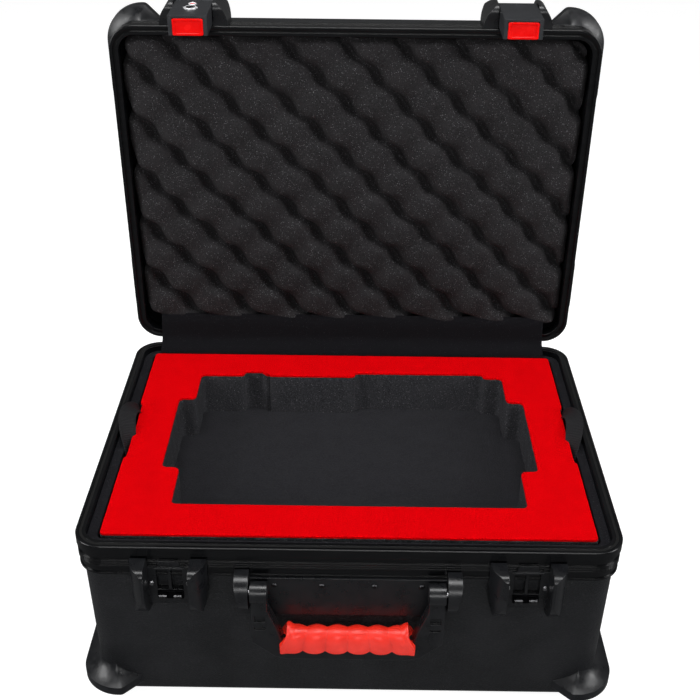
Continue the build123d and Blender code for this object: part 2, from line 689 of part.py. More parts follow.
# Key lock in the left arm's cover
lock_spot = (-LATCH_X, tip + LOCK_HEIGHT)
with BuildPart() as lock_ring:
    with BuildSketch(lid_front(ARM_FRONT + FIT)):
        with Locations(lock_spot):
            Circle(LOCK_RING)
            Circle(LOCK_RADIUS + 0.1, mode=Mode.SUBTRACT)
    extrude(amount=1.2)
    fillet(lock_ring.faces().sort_by(Axis.Z)[-1].outer_wire().edges(), 0.7)
save_open(lock_ring.part, "lock_ring")
with BuildPart() as key_cylinder:
    with BuildSketch(lid_front(ARM_FRONT + 1.6)):
        with Locations(lock_spot):
            Circle(LOCK_RADIUS)
    extrude(amount=-10)
    with BuildSketch(lid_front(ARM_FRONT + 1.6)):
        with Locations(lock_spot):
            Rectangle(1.4, 5.2)
    extrude(amount=-6, mode=Mode.SUBTRACT)
save_open(key_cylinder.part, "key_cylinder")
with BuildPart() as lock_indicator:
    with BuildSketch(lid_front(ARM_FRONT + 0.4)):
        with Locations((-LATCH_X, tip + INDICATOR_HEIGHT)):
            Circle(INDICATOR_RADIUS)
    extrude(amount=-2.6)
save_open(lock_indicator.part, "lock_indicator")

# Handle: a mount with two ears, a bail that swings on two pins, a soft grip
handle_pivot = (HANDLE_PIVOT_OUT, -HANDLE_PIVOT_DROP)
ear_inner = HANDLE_HALF_WIDTH + EAR_GAP
with BuildPart() as handle_mount:
    with BuildSketch(base_front(MOUNT_FACE)):
        with Locations((0, -(MOUNT_TOP + MOUNT_END) / 2)):
            RectangleRounded(2 * (ear_inner + EAR_WIDTH), MOUNT_END - MOUNT_TOP, 3.0)
    extrude(amount=-GUARD_ROOT)
    ear_nose = (HANDLE_PIVOT_OUT + EAR_RADIUS, -HANDLE_PIVOT_DROP)
    ear_chin = (10, 6 - EAR_END)
    for start in (-ear_inner, ear_inner + EAR_WIDTH):
        with BuildSketch(base_side(start)):
            with BuildLine():
                Polyline(ear_chin, (-10, -EAR_END), (-10, -EAR_TOP), (8, -EAR_TOP))
                ThreePointArc((8, -EAR_TOP), (18.5, -EAR_TOP - 5.5), ear_nose)
                ThreePointArc(ear_nose, (20, -HANDLE_PIVOT_DROP - 13), ear_chin)
            make_face()
        extrude(amount=EAR_WIDTH)
    ear_outer = ear_inner + EAR_WIDTH
    with BuildSketch(base_front(ear_nose[0] + 2)):
        for hand in (-1, 1):
            with BuildLine():
                Polyline(
                    (hand * ear_outer, -EAR_TOP - 4),
                    (hand * (ear_outer + 1), -EAR_TOP - 4),
                    (hand * (ear_outer + 1), -EAR_END - 1),
                    (hand * (ear_inner + EAR_TIP), -EAR_END - 1),
                    close=True,
                )
            make_face()
    extrude(amount=MOUNT_FACE - ear_nose[0] - 2, mode=Mode.SUBTRACT)
    add(base_space, mode=Mode.SUBTRACT)
    with BuildSketch(base_side(ear_inner + EAR_BORE)):
        with Locations(handle_pivot):
            Circle(HANDLE_PIN_RADIUS + PIN_CLEARANCE)
    extrude(amount=2 * (ear_inner + EAR_BORE), mode=Mode.SUBTRACT)
    add(rivet_holes(base_front(MOUNT_FACE), handle_rivet_spots), mode=Mode.SUBTRACT)
save(handle_mount.part, "handle_mount")
save(rivets(base_front(MOUNT_FACE), handle_rivet_spots, 8.0), "handle_rivets")

with BuildPart() as handle_bail:
    with BuildSketch(base_front(HANDLE_PIVOT_OUT + HANDLE_THICKNESS / 2)):
        arm_inner = HANDLE_HALF_WIDTH - HANDLE_ARM
        low = -HANDLE_PIVOT_DROP - HANDLE_DROP
        shoulder = -HANDLE_PIVOT_DROP - HANDLE_SHOULDER
        with BuildLine():
            Polyline(
                (-HANDLE_HALF_WIDTH, -HANDLE_PIVOT_DROP),
                (-HANDLE_HALF_WIDTH, shoulder),
                (-HANDLE_HALF_WIDTH + 22, low + 3),
                (-HANDLE_HALF_WIDTH + 34, low),
                (HANDLE_HALF_WIDTH - 34, low),
                (HANDLE_HALF_WIDTH - 22, low + 3),
                (HANDLE_HALF_WIDTH, shoulder),
                (HANDLE_HALF_WIDTH, -HANDLE_PIVOT_DROP),
                (arm_inner, -HANDLE_PIVOT_DROP),
                (arm_inner, -HANDLE_PIVOT_DROP - HANDLE_ARM_END),
                (GRIP_HALF_LENGTH - 4, low + HANDLE_BAR),
                (4 - GRIP_HALF_LENGTH, low + HANDLE_BAR),
                (-arm_inner, -HANDLE_PIVOT_DROP - HANDLE_ARM_END),
                (-arm_inner, -HANDLE_PIVOT_DROP),
                close=True,
            )
        make_face()
    extrude(amount=-HANDLE_THICKNESS)
    outline = handle_bail.faces().sort_by(Axis.Y)
    fillet(outline[0].edges() + outline[-1].edges(), 2.0)
    with BuildSketch(base_front(HANDLE_PIVOT_OUT + HANDLE_THICKNESS / 2)):
        for drop, height in HANDLE_SLOTS:
            with Locations((0, -HANDLE_PIVOT_DROP - drop)):
                with GridLocations(2 * (HANDLE_HALF_WIDTH - HANDLE_SLOT_INSET), 0, 2, 1):
                    Rectangle(HANDLE_SLOT_WIDTH, height)
    extrude(amount=-HANDLE_SLOT_DEPTH, mode=Mode.SUBTRACT)
    for hand in (-1, 1):
        start = -arm_inner if hand < 0 else HANDLE_HALF_WIDTH
        with BuildSketch(base_side(start)):
            with Locations(handle_pivot):
                Circle(HANDLE_BARREL)
        extrude(amount=HANDLE_ARM)
    with BuildSketch(base_side(HANDLE_HALF_WIDTH + 1)):
        with Locations(handle_pivot):
            Circle(HANDLE_PIN_RADIUS + PIN_CLEARANCE)
    extrude(amount=2 * HANDLE_HALF_WIDTH + 2, mode=Mode.SUBTRACT)
save(handle_bail.part, "handle_bail")

with BuildPart() as handle_pins:
    for hand in (-1, 1):
        start = -arm_inner if hand < 0 else ear_inner + EAR_BORE
        with BuildSketch(base_side(start)):
            with Locations(handle_pivot):
                Circle(HANDLE_PIN_RADIUS)
        extrude(amount=ear_inner + EAR_BORE - arm_inner)
save(handle_pins.part, "handle_pins")

grip_bottom = low + GRIP_ABOVE_BAIL
with BuildPart() as handle_grip:
    with BuildSketch(base_side(GRIP_HALF_LENGTH)):
        with Locations((HANDLE_PIVOT_OUT, grip_bottom + GRIP_HEIGHT / 2)):
            RectangleRounded(GRIP_WIDTH, GRIP_HEIGHT, 9.0)
    extrude(amount=2 * GRIP_HALF_LENGTH)
    with BuildSketch(base_front(HANDLE_PIVOT_OUT + HANDLE_THICKNESS / 2 + FIT)):
        with Locations((0, low + HANDLE_BAR / 2)):
            Rectangle(2 * GRIP_HALF_LENGTH + 2, HANDLE_BAR + 3 * FIT)
    extrude(amount=-HANDLE_THICKNESS - 2 * FIT, mode=Mode.SUBTRACT)
    with BuildSketch(base_front(GRIP_WIDTH)):
        for hand in (-1, 1):
            with BuildLine():
                Polyline(
                    (hand * (GRIP_HALF_LENGTH - 7), grip_bottom + GRIP_HEIGHT + 1),
                    (hand * (GRIP_HALF_LENGTH - 7), grip_bottom + 13),
                    (hand * GRIP_HALF_LENGTH, grip_bottom + 7),
                    (hand * (GRIP_HALF_LENGTH + 20), grip_bottom + 7),
                    (hand * (GRIP_HALF_LENGTH + 20), grip_bottom + GRIP_HEIGHT + 1),
                    close=True,
                )
            make_face()
    extrude(amount=-2 * GRIP_WIDTH, mode=Mode.SUBTRACT)
save(handle_grip.part, "handle_grip")

# Lining and foam in the base
foam_floor = base_far - SHELL_WALL - 0.5
with BuildPart() as base_liner:
    with BuildSketch(base_level(7.0)):
        case_outline(SHELL_INSET + SHELL_WALL + 1.0)
    with BuildSketch(base_level(foam_floor)):
        case_outline(LINER_INNER - LINER_THICKNESS)
    loft()
    with BuildSketch(base_level(0)):
        case_outline(LINER_INNER)
    extrude(amount=BASE_HEIGHT, mode=Mode.SUBTRACT)
    with BuildSketch(base_level(0)):
        case_outline(RIM_FACE - RIM_LEG_THICKNESS - 1.0)
        case_outline(RIM_FACE + 0.4, mode=Mode.SUBTRACT)
    extrude(amount=RIM_LEG + 0.4, mode=Mode.SUBTRACT)
save(base_liner.part.solids().sort_by(SortBy.VOLUME)[-1], "base_liner")

tray_drop = BASE_HEIGHT - TRAY_BOTTOM
with BuildPart() as lower_foam:
    with BuildSketch(base_level(tray_drop + 0.3)):
        case_outline(LINER_INNER + 0.5)
    extrude(amount=foam_floor - tray_drop - 0.3)
    with BuildSketch(base_level(tray_drop)):
        RectangleRounded(2 * WELL_HALF_X, 2 * WELL_HALF_Y, 12)
    extrude(amount=WELL_DEPTH, mode=Mode.SUBTRACT)
save(lower_foam.part, "lower_foam")


def tray_outline():
    """The tray's plan: a rectangle with a shallow strap notch in each short side."""
    RectangleRounded(2 * TRAY_HALF_X, 2 * TRAY_HALF_Y, 4)
    with Locations(*[(side * TRAY_HALF_X, (STRAP_FRONT + STRAP_BACK) / 2) for side in (-1, 1)]):
        RectangleRounded(2 * STRAP_NOTCH, STRAP_BACK - STRAP_FRONT, 3, mode=Mode.SUBTRACT)


def cut_out():
    """The tray's stepped cut-out, with finger bays in its back edge."""
    with Locations((0, (CUT_FRONT + CUT_BACK) / 2)):
        RectangleRounded(2 * CUT_HALF_X, CUT_BACK - CUT_FRONT, CUT_CORNER, mode=Mode.SUBTRACT)
    with Locations((0, (CUT_STEP_FRONT + CUT_STEP_BACK) / 2)):
        step_width = 2 * (CUT_HALF_X + CUT_STEP)
        RectangleRounded(step_width, CUT_STEP_BACK - CUT_STEP_FRONT, CUT_CORNER, mode=Mode.SUBTRACT)
    for middle, width in FINGER_BAYS:
        with Locations((middle, CUT_BACK)):
            RectangleRounded(width, 2 * FINGER_BAY, CUT_CORNER, mode=Mode.SUBTRACT)


def tray_layer(height, thickness, cut):
    """One layer of the tray, its lower face at height."""
    with BuildPart() as layer:
        with BuildSketch(Plane(origin=(0, CASE_Y, height))):
            tray_outline()
            if cut:
                cut_out()
        extrude(amount=thickness)
    return layer.part


save(tray_layer(TRAY_BOTTOM, TRAY_FLOOR, False), "tray_floor")
save(tray_layer(TRAY_BOTTOM + TRAY_FLOOR, TRAY_BODY, True), "tray_foam")
save(tray_layer(TRAY_BOTTOM + TRAY_FLOOR + TRAY_BODY, RED_LAYER, True), "tray_top")
strap_low = TRAY_BOTTOM + TRAY_FLOOR + 6
for hand, name in ((-1, "left"), (1, "right")):
    strap_x = hand * (TRAY_HALF_X - STRAP_NOTCH / 2)
    with BuildPart() as pull_strap:
        with BuildSketch(Plane(origin=(0, CASE_Y, strap_low))):
            with Locations((strap_x, (STRAP_FRONT + STRAP_BACK) / 2)):
                Rectangle(STRAP_THICKNESS, STRAP_BACK - STRAP_FRONT - 8)
        extrude(amount=BASE_HEIGHT - STRAP_BELOW_RIM - strap_low)
    save(pull_strap.part, "pull_strap_" + name)

# Foam in the lid and the cloth over the hinge
foam_width = RIM_WIDTH - 2 * LID_FOAM_EDGE
foam_depth = RIM_DEPTH - 2 * LID_FOAM_EDGE - 8
with BuildPart() as lid_foam:
    with BuildSketch(lid_level(LID_FOAM_RECESS)):
        with Locations((0, -4)):
            RectangleRounded(foam_width, foam_depth, RIM_CORNER - LID_FOAM_EDGE + 3)
    extrude(amount=LID_HEIGHT - SHELL_WALL - LID_FOAM_RECESS - 0.4)
save_open(lid_foam.part, "lid_foam")
with BuildPart() as hinge_cover_base:
    with BuildSketch(base_level(9)):
        with Locations((0, FRONT_FACE + LINER_INNER + 0.4 + COVER_THICKNESS / 2)):
            Rectangle(2 * COVER_HALF_WIDTH, COVER_THICKNESS)
    extrude(amount=COVER_STRIP)
save(hinge_cover_base.part, "hinge_cover_base")
with BuildPart() as hinge_cover_lid:
    with BuildSketch(lid_level(4)):
        with Locations((0, -FRONT_FACE - RIM_FACE - 3.0)):
            Rectangle(2 * COVER_HALF_WIDTH, COVER_THICKNESS)
    extrude(amount=COVER_STRIP)
save_open(hinge_cover_lid.part, "hinge_cover_lid")
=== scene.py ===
"""The looks of the drone case: foams, felt, webbing, grip, bumpers and finishes.

Metres, +Z up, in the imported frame. Pieces of the lid are drawn with the lid shut and turned
open by open_lid, about the hinge that the frame gives.
"""

import json
import math

import bpy
import numpy as np
from mathutils import Matrix, Vector


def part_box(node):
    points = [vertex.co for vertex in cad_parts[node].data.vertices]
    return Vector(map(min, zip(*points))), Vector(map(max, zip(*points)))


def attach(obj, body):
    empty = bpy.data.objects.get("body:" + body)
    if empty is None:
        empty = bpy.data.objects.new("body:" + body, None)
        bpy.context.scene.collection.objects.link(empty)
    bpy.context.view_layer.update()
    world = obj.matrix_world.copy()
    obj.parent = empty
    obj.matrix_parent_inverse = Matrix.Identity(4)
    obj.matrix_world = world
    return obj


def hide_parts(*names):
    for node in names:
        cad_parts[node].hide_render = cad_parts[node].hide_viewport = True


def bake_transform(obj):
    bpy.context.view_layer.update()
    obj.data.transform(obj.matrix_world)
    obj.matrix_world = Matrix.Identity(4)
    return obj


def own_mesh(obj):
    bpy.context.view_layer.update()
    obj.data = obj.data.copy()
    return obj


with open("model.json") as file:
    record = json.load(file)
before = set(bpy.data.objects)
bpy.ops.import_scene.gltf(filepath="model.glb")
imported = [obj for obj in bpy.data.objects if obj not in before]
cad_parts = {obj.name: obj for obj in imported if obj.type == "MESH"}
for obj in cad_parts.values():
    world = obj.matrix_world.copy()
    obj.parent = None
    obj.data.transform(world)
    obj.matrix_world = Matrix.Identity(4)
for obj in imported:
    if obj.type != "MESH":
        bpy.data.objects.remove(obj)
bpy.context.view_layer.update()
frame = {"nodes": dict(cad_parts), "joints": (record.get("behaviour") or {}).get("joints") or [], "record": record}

MM = 0.001
TAU = 2 * math.pi
PATTERN_LOW = 0.3  # most of a noise pattern's values lie between these two
PATTERN_HIGH = 0.7

# Planes of the case that the frame gives
rim_low, rim_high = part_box("base_rim")
CENTRE_Y = (rim_low.y + rim_high.y) / 2
HALF_WIDTH = (rim_high.x - rim_low.x) / 2
HALF_DEPTH = (rim_high.y - rim_low.y) / 2
FRONT_Y = rim_low.y
PARTING_Z = rim_high.z
RIM_GAP = 0.4 * MM
LID_Z = PARTING_Z + RIM_GAP
joints = {joint["name"]: joint for joint in frame["joints"]}
HINGE = np.array(joints["lid_hinge"]["pos_m"])
OPEN_ANGLE = math.radians(-joints["lid_hinge"]["range_deg"][0])


def open_lid(points):
    """Turns points drawn with the lid shut to where they are with it open."""
    across, back, up = np.moveaxis(points, -1, 0)
    back = back - HINGE[1]
    up = up - HINGE[2]
    turned_back = HINGE[1] + back * math.cos(OPEN_ANGLE) + up * math.sin(OPEN_ANGLE)
    turned_up = HINGE[2] - back * math.sin(OPEN_ANGLE) + up * math.cos(OPEN_ANGLE)
    return np.stack([across, turned_back, turned_up], axis=-1)


def smooth(value, low, high):
    """0 below low, 1 above high, and an S-curve between."""
    part = np.clip((value - low) / (high - low), 0, 1)
    return part * part * (3 - 2 * part)


def stack(*parts):
    """Joins coordinate arrays of any matching shapes into points."""
    return np.stack(np.broadcast_arrays(*parts), axis=-1).astype(float)


def surface(name, points, ring=True, tube=False, caps=True, sharp=40):
    """A mesh on a grid of points: one quad a cell. A ring joins the last column to the first,
    a tube joins the last row to the first, and caps close the first and last rows."""
    rows, columns = points.shape[:2]
    index = np.arange(rows * columns).reshape(rows, columns)
    if ring:
        index = np.hstack([index, index[:, :1]])
    if tube:
        index = np.vstack([index, index[:1]])
    quads = np.stack([index[:-1, :-1], index[:-1, 1:], index[1:, 1:], index[1:, :-1]], axis=-1)
    faces = quads.reshape(-1, 4).tolist()
    if caps and ring and not tube:
        faces.append(index[0, :-1][::-1].tolist())
        faces.append(index[-1, :-1].tolist())
    mesh = bpy.data.meshes.new(name)
    mesh.from_pydata(points.reshape(-1, 3), [], faces)
    mesh.update()
    corners = points.reshape(-1, 3)[quads.reshape(-1, 4)]
    crossed = np.cross(corners[:, 1] - corners[:, 0], corners[:, 2] - corners[:, 0])
    crossed += np.cross(corners[:, 2] - corners[:, 0], corners[:, 3] - corners[:, 0])
    middle = corners.mean(1) - corners.reshape(-1, 3).mean(0)
    if (crossed * middle).sum() < 0:
        mesh.flip_normals()
    mesh.shade_smooth()
    mesh.set_sharp_from_angle(angle=math.radians(sharp))
    piece = bpy.data.objects.new(name, mesh)
    bpy.context.scene.collection.objects.link(piece)
    return piece


def add_uv(piece, along, across):
    """A UV map from one value a vertex along the piece and one across it, in metres."""
    loops = np.zeros(len(piece.data.loops), dtype=int)
    piece.data.loops.foreach_get("vertex_index", loops)
    pairs = np.stack([along.ravel()[loops], across.ravel()[loops]], axis=-1)
    layer = piece.data.uv_layers.new(name="run")
    layer.data.foreach_set("uv", pairs.astype(np.float32).ravel())


def dress(piece, finish, body=None, stands_for=()):
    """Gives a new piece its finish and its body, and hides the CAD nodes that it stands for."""
    piece.data.materials.append(finish)
    if body:
        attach(piece, body)
    if stands_for:
        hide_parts(*stands_for)
    return piece


class Finish:
    """A material being made: its shader, the surface's coordinates, and short ways to add nodes."""

    def __init__(self, name, roughness, use_uv=False, **sockets):
        self.material = bpy.data.materials.new(name)
        self.material.use_nodes = True
        self.tree = self.material.node_tree
        self.shader = self.tree.nodes["Principled BSDF"]
        self.shader.inputs["Roughness"].default_value = roughness
        for label, value in sockets.items():
            self.shader.inputs[label.replace("_", " ")].default_value = value
        coordinates = self.tree.nodes.new("ShaderNodeTexCoord")
        self.where = coordinates.outputs["UV" if use_uv else "Object"]
        self.normal = None

    def link(self, source, target):
        self.tree.links.new(source, target)

    def noise(self, size, detail=2.0, rough=0.5, where=None):
        node = self.tree.nodes.new("ShaderNodeTexNoise")
        node.inputs["Scale"].default_value = 1 / size
        node.inputs["Detail"].default_value = detail
        node.inputs["Roughness"].default_value = rough
        self.link(where or self.where, node.inputs["Vector"])
        return node.outputs["Fac"]

    def cells(self, size, feature="F1", where=None):
        node = self.tree.nodes.new("ShaderNodeTexVoronoi")
        node.feature = feature
        node.inputs["Scale"].default_value = 1 / size
        self.link(where or self.where, node.inputs["Vector"])
        return node.outputs["Distance"]

    def stretched(self, scale):
        node = self.tree.nodes.new("ShaderNodeMapping")
        node.inputs["Scale"].default_value = scale
        self.link(self.where, node.inputs["Vector"])
        return node.outputs["Vector"]

    def ramp(self, source, low, high, start=(0, 0, 0), end=(1, 1, 1)):
        node = self.tree.nodes.new("ShaderNodeMapRange")
        node.data_type = "FLOAT_VECTOR"
        node.inputs[7].default_value = (low, low, low)
        node.inputs[8].default_value = (high, high, high)
        node.inputs[9].default_value = start
        node.inputs[10].default_value = end
        self.link(source, node.inputs[6])
        return node.outputs[1]

    def level(self, source, low, high, start=0.0, end=1.0):
        node = self.tree.nodes.new("ShaderNodeMapRange")
        node.inputs["From Min"].default_value = low
        node.inputs["From Max"].default_value = high
        node.inputs["To Min"].default_value = start
        node.inputs["To Max"].default_value = end
        self.link(source, node.inputs["Value"])
        return node.outputs["Result"]

    def shades(self, source, dark, light):
        return self.ramp(source, PATTERN_LOW, PATTERN_HIGH, dark, light)

    def spread(self, source, start, end):
        return self.level(source, PATTERN_LOW, PATTERN_HIGH, start, end)

    def sum(self, first, second, operation="ADD"):
        node = self.tree.nodes.new("ShaderNodeMath")
        node.operation = operation
        for socket, value in zip(node.inputs, (first, second)):
            if isinstance(value, (int, float)):
                socket.default_value = value
            else:
                self.link(value, socket)
        return node.outputs["Value"]

    def blend(self, factor, first, second):
        node = self.tree.nodes.new("ShaderNodeMix")
        node.data_type = "RGBA"
        self.link(factor, node.inputs["Factor"])
        for socket, value in ((node.inputs[6], first), (node.inputs[7], second)):
            if isinstance(value, tuple):
                socket.default_value = (*value, 1)
            else:
                self.link(value, socket)
        return node.outputs[2]

    def rounded(self, radius):
        node = self.tree.nodes.new("ShaderNodeBevel")
        node.samples = 4
        node.inputs["Radius"].default_value = radius
        self.normal = node.outputs["Normal"]

    def bump(self, height, distance, strength=1.0):
        node = self.tree.nodes.new("ShaderNodeBump")
        node.inputs["Distance"].default_value = distance
        node.inputs["Strength"].default_value = strength
        self.link(height, node.inputs["Height"])
        if self.normal:
            self.link(self.normal, node.inputs["Normal"])
        self.normal = node.outputs["Normal"]

    def done(self, colour=None, roughness=None):
        if colour:
            self.link(colour, self.shader.inputs["Base Color"])
        if roughness:
            self.link(roughness, self.shader.inputs["Roughness"])
        if self.normal:
            self.link(self.normal, self.shader.inputs["Normal"])
        return self.material


def leather_grain_plastic():
    """Moulded black plastic with a fine leather grain."""
    finish = Finish("leather_grain_plastic", 0.36, Specular_IOR_Level=0.75)
    patches = finish.noise(45 * MM, 3)
    colour = finish.ramp(patches, 0.35, 0.65, (0.0035, 0.004, 0.005), (0.006, 0.0065, 0.008))
    along = finish.stretched((0.5, 0.5, 1))
    wrinkles = finish.cells(1.6 * MM, "DISTANCE_TO_EDGE", along)
    soft = finish.level(wrinkles, 0.0, 0.32)
    pebbles = finish.noise(1.4 * MM, 2, 0.5, along)
    finish.bump(finish.sum(soft, pebbles), 0.24 * MM, 1.0)
    return finish.done(colour, finish.spread(patches, 0.32, 0.4))


def satin_plastic():
    """Smooth dark plastic of the latches and the handle, with slightly rounded edges."""
    finish = Finish("satin_plastic", 0.28, Specular_IOR_Level=0.5)
    patches = finish.noise(12 * MM, 3)
    colour = finish.shades(patches, (0.0045, 0.0048, 0.0058), (0.008, 0.0084, 0.0096))
    finish.rounded(0.8 * MM)
    finish.bump(finish.noise(0.5 * MM, 2), 0.02 * MM, 0.6)
    return finish.done(colour, finish.spread(patches, 0.25, 0.34))


def cover_plastic():
    """Finely textured plastic of the latch arms, coloured lighter than the other black plastics as a painted
    reflection of the light from above.
    """
    finish = Finish("cover_plastic", 0.4, Specular_IOR_Level=0.35)
    patches = finish.noise(9 * MM, 3)
    # painted reflection: a lighter grey than the other black plastics stands in for light from above
    colour = finish.shades(patches, (0.016, 0.017, 0.019), (0.022, 0.023, 0.026))
    finish.rounded(0.9 * MM)
    finish.bump(finish.noise(0.45 * MM, 2), 0.03 * MM, 0.7)
    return finish.done(colour, finish.spread(patches, 0.38, 0.48))


def bumper_plastic():
    """Tough black plastic of the corner bumpers, a little scuffed."""
    finish = Finish("bumper_plastic", 0.28, Specular_IOR_Level=0.45)
    scuffs = finish.noise(7 * MM, 5, 0.65)
    colour = finish.ramp(scuffs, 0.45, 0.75, (0.0045, 0.005, 0.0062), (0.011, 0.0115, 0.0135))
    finish.bump(finish.noise(0.8 * MM, 3), 0.05 * MM, 0.6)
    return finish.done(colour, finish.level(scuffs, 0.35, 0.7, 0.27, 0.44))


def rim_coating():
    """Black coating of the extruded rims: long faint streaks and crisp, slightly rounded edges."""
    finish = Finish("rim_coating", 0.2, Specular_IOR_Level=0.42)
    streaks = finish.noise(30 * MM, 4, 0.6, finish.stretched((1, 1, 14)))
    colour = finish.shades(streaks, (0.0015, 0.0016, 0.002), (0.0035, 0.0037, 0.0043))
    finish.rounded(0.6 * MM)
    return finish.done(colour, finish.spread(streaks, 0.16, 0.24))


def foam(name, base, light, speck, speck_share, pore, gloss=0.12):
    """Open-cell foam: soft shade variation, pores, and specks where cell walls catch light."""
    finish = Finish(name, 0.95, Specular_IOR_Level=gloss)
    shade = finish.noise(18 * MM, 4)
    body = finish.shades(shade, base, light)
    grains = finish.noise(pore, 1, 0.7)
    brightest = tuple(1.5 * channel for channel in light)
    mottled = finish.blend(finish.level(grains, 0.35, 0.7), body, brightest)
    dots = finish.level(finish.cells(1.7 * MM), 0.24, 0.12)
    lit = finish.level(finish.noise(2.9 * MM, 2), speck_share - 0.2, speck_share - 0.05)
    colour = finish.blend(finish.sum(dots, lit, "MULTIPLY"), mottled, speck)
    finish.bump(finish.sum(grains, finish.cells(pore * 1.6)), 0.45 * MM, 0.8)
    return finish.done(colour)


def felt():
    """Dark felt with fibres and pale flecks."""
    finish = Finish("charcoal_felt", 0.98, Specular_IOR_Level=0.1)
    fibres = finish.noise(0.7 * MM, 4, 0.8)
    body = finish.ramp(fibres, 0.3, 0.75, (0.0015, 0.0015, 0.002), (0.006, 0.006, 0.0075))
    flecks = finish.level(finish.noise(0.8 * MM, 1, 0.5), 0.7, 0.76)
    finish.bump(fibres, 0.4 * MM, 0.8)
    return finish.done(finish.blend(flecks, body, (0.05, 0.05, 0.055)))


RIB_PITCH = 2.2 * MM
WAVE_UNIT = 20  # a Wave Texture of scale 1 has this many radians a metre


def webbing():
    """Woven black webbing: cross ribs along its run, with a fine thread pattern."""
    finish = Finish("black_webbing", 0.6, use_uv=True, Specular_IOR_Level=0.25)
    ribs = finish.tree.nodes.new("ShaderNodeTexWave")
    ribs.bands_direction = "X"
    ribs.inputs["Scale"].default_value = TAU / RIB_PITCH / WAVE_UNIT
    finish.link(finish.where, ribs.inputs["Vector"])
    threads = finish.noise(0.5 * MM, 2)
    rib_shade = ribs.outputs["Fac"]
    colour = finish.ramp(rib_shade, 0.1, 0.9, (0.0025, 0.0025, 0.003), (0.012, 0.012, 0.014))
    finish.bump(finish.sum(rib_shade, threads), 0.4 * MM, 0.9)
    return finish.done(colour)


def steel(name, roughness, dark, light, edge, metallic=1.0):
    """Bare or plated steel with fine drawing marks."""
    finish = Finish(name, roughness, Metallic=metallic)
    marks = finish.noise(4 * MM, 4, 0.7, finish.stretched((1, 9, 9)))
    finish.rounded(edge)
    return finish.done(
        finish.shades(marks, dark, light),
        finish.spread(marks, roughness - 0.06, roughness + 0.08),
    )


HIGHLIGHT_STARTS = 2.6 * MM  # how far in front of the rim the striker's painted highlight starts
HIGHLIGHT_FULL = 4.6 * MM


def striker_steel():
    """A blackened striker plate whose hooks are painted bright where they stand out in front: a painted highlight.
    """
    finish = Finish("striker_steel", 0.28, Metallic=1.0)
    split = finish.tree.nodes.new("ShaderNodeSeparateXYZ")
    finish.link(finish.where, split.inputs["Vector"])
    # painted highlight: the hooks turn from blackened to bright steel as they stand out in front of the rim
    painted_highlight = finish.level(split.outputs["Y"], FRONT_Y - HIGHLIGHT_STARTS, FRONT_Y - HIGHLIGHT_FULL)
    marks = finish.noise(2 * MM, 4, 0.7)
    finish.rounded(0.3 * MM)
    bright = finish.shades(marks, (0.06, 0.06, 0.064), (0.16, 0.16, 0.165))
    return finish.done(finish.blend(painted_highlight, (0.012, 0.012, 0.014), bright))


def red_plastic():
    """Glossy red plastic of the push releases."""
    finish = Finish("red_plastic", 0.22, Specular_IOR_Level=0.12)
    patches = finish.noise(10 * MM, 2)
    colour = finish.shades(patches, (0.6, 0.0, 0.0), (0.7, 0.002, 0.001))
    finish.bump(finish.noise(0.6 * MM, 2), 0.015 * MM, 0.5)
    return finish.done(colour, finish.spread(patches, 0.2, 0.3))


def grip_rubber():
    """Soft red-orange rubber of the hand grip."""
    finish = Finish("grip_rubber", 0.38, Specular_IOR_Level=0.5)
    patches = finish.noise(15 * MM, 3)
    colour = finish.shades(patches, (0.68, 0.016, 0.006), (0.78, 0.024, 0.011))
    finish.bump(finish.noise(0.6 * MM, 2), 0.03 * MM, 0.6)
    return finish.done(colour, finish.spread(patches, 0.34, 0.42))


def seal_rubber():
    """Matt black rubber."""
    finish = Finish("seal_rubber", 0.8, Specular_IOR_Level=0.2)
    grains = finish.noise(0.8 * MM, 3)
    finish.bump(grains, 0.05 * MM, 0.7)
    return finish.done(finish.shades(grains, (0.003, 0.003, 0.003), (0.007, 0.007, 0.007)))


def floor_paper():
    """Pale, matt studio paper."""
    finish = Finish("floor_paper", 0.9, Specular_IOR_Level=0.0, Emission_Strength=0.92)
    finish.shader.inputs["Emission Color"].default_value = (1, 1, 1, 1)
    clouds = finish.noise(0.4, 2)
    return finish.done(finish.shades(clouds, (0.29, 0.29, 0.295), (0.31, 0.31, 0.315)))


GRAIN = leather_grain_plastic()
SATIN = satin_plastic()
COVER = cover_plastic()
BUMPER = bumper_plastic()
RIM = rim_coating()
FELT = felt()
WEBBING = webbing()
LID_FOAM = foam(
    "lid_foam",
    base=(0.0085, 0.0081, 0.0087),
    light=(0.0145, 0.0138, 0.0146),
    speck=(0.17, 0.17, 0.18),
    speck_share=0.62,
    pore=1.2 * MM,
)
TRAY_FOAM = foam(
    "tray_foam",
    base=(0.016, 0.016, 0.018),
    light=(0.027, 0.027, 0.03),
    speck=(0.24, 0.24, 0.26),
    speck_share=0.66,
    pore=1.6 * MM,
)
LINER_FELT = foam(
    "liner_felt",
    base=(0.004, 0.004, 0.005),
    light=(0.009, 0.009, 0.011),
    speck=(0.1, 0.1, 0.11),
    speck_share=0.68,
    pore=1.2 * MM,
)
FLOOR_FOAM = foam(
    "floor_foam",
    base=(0.009, 0.009, 0.0105),
    light=(0.014, 0.014, 0.016),
    speck=(0.03, 0.03, 0.034),
    speck_share=0.7,
    pore=0.9 * MM,
)
RED_FOAM = foam(
    "red_foam",
    base=(0.41, 0.0, 0.001),
    light=(0.47, 0.0, 0.0015),
    speck=(0.6, 0.006, 0.01),
    speck_share=0.72,
    pore=1.0 * MM,
    gloss=0.02,
)
BRIGHT_STEEL = steel("bright_steel", 0.25, (0.5, 0.5, 0.52), (0.7, 0.7, 0.72), 0.4 * MM)
DARK_STEEL = steel("dark_steel", 0.4, (0.03, 0.03, 0.032), (0.06, 0.06, 0.064), 0.3 * MM)
KEY_SILVER = steel("key_silver", 0.3, (0.78, 0.78, 0.8), (0.9, 0.9, 0.92), 0.3 * MM, 0.45)
STRIKER = striker_steel()
RED = red_plastic()
GRIP = grip_rubber()
SEAL = seal_rubber()

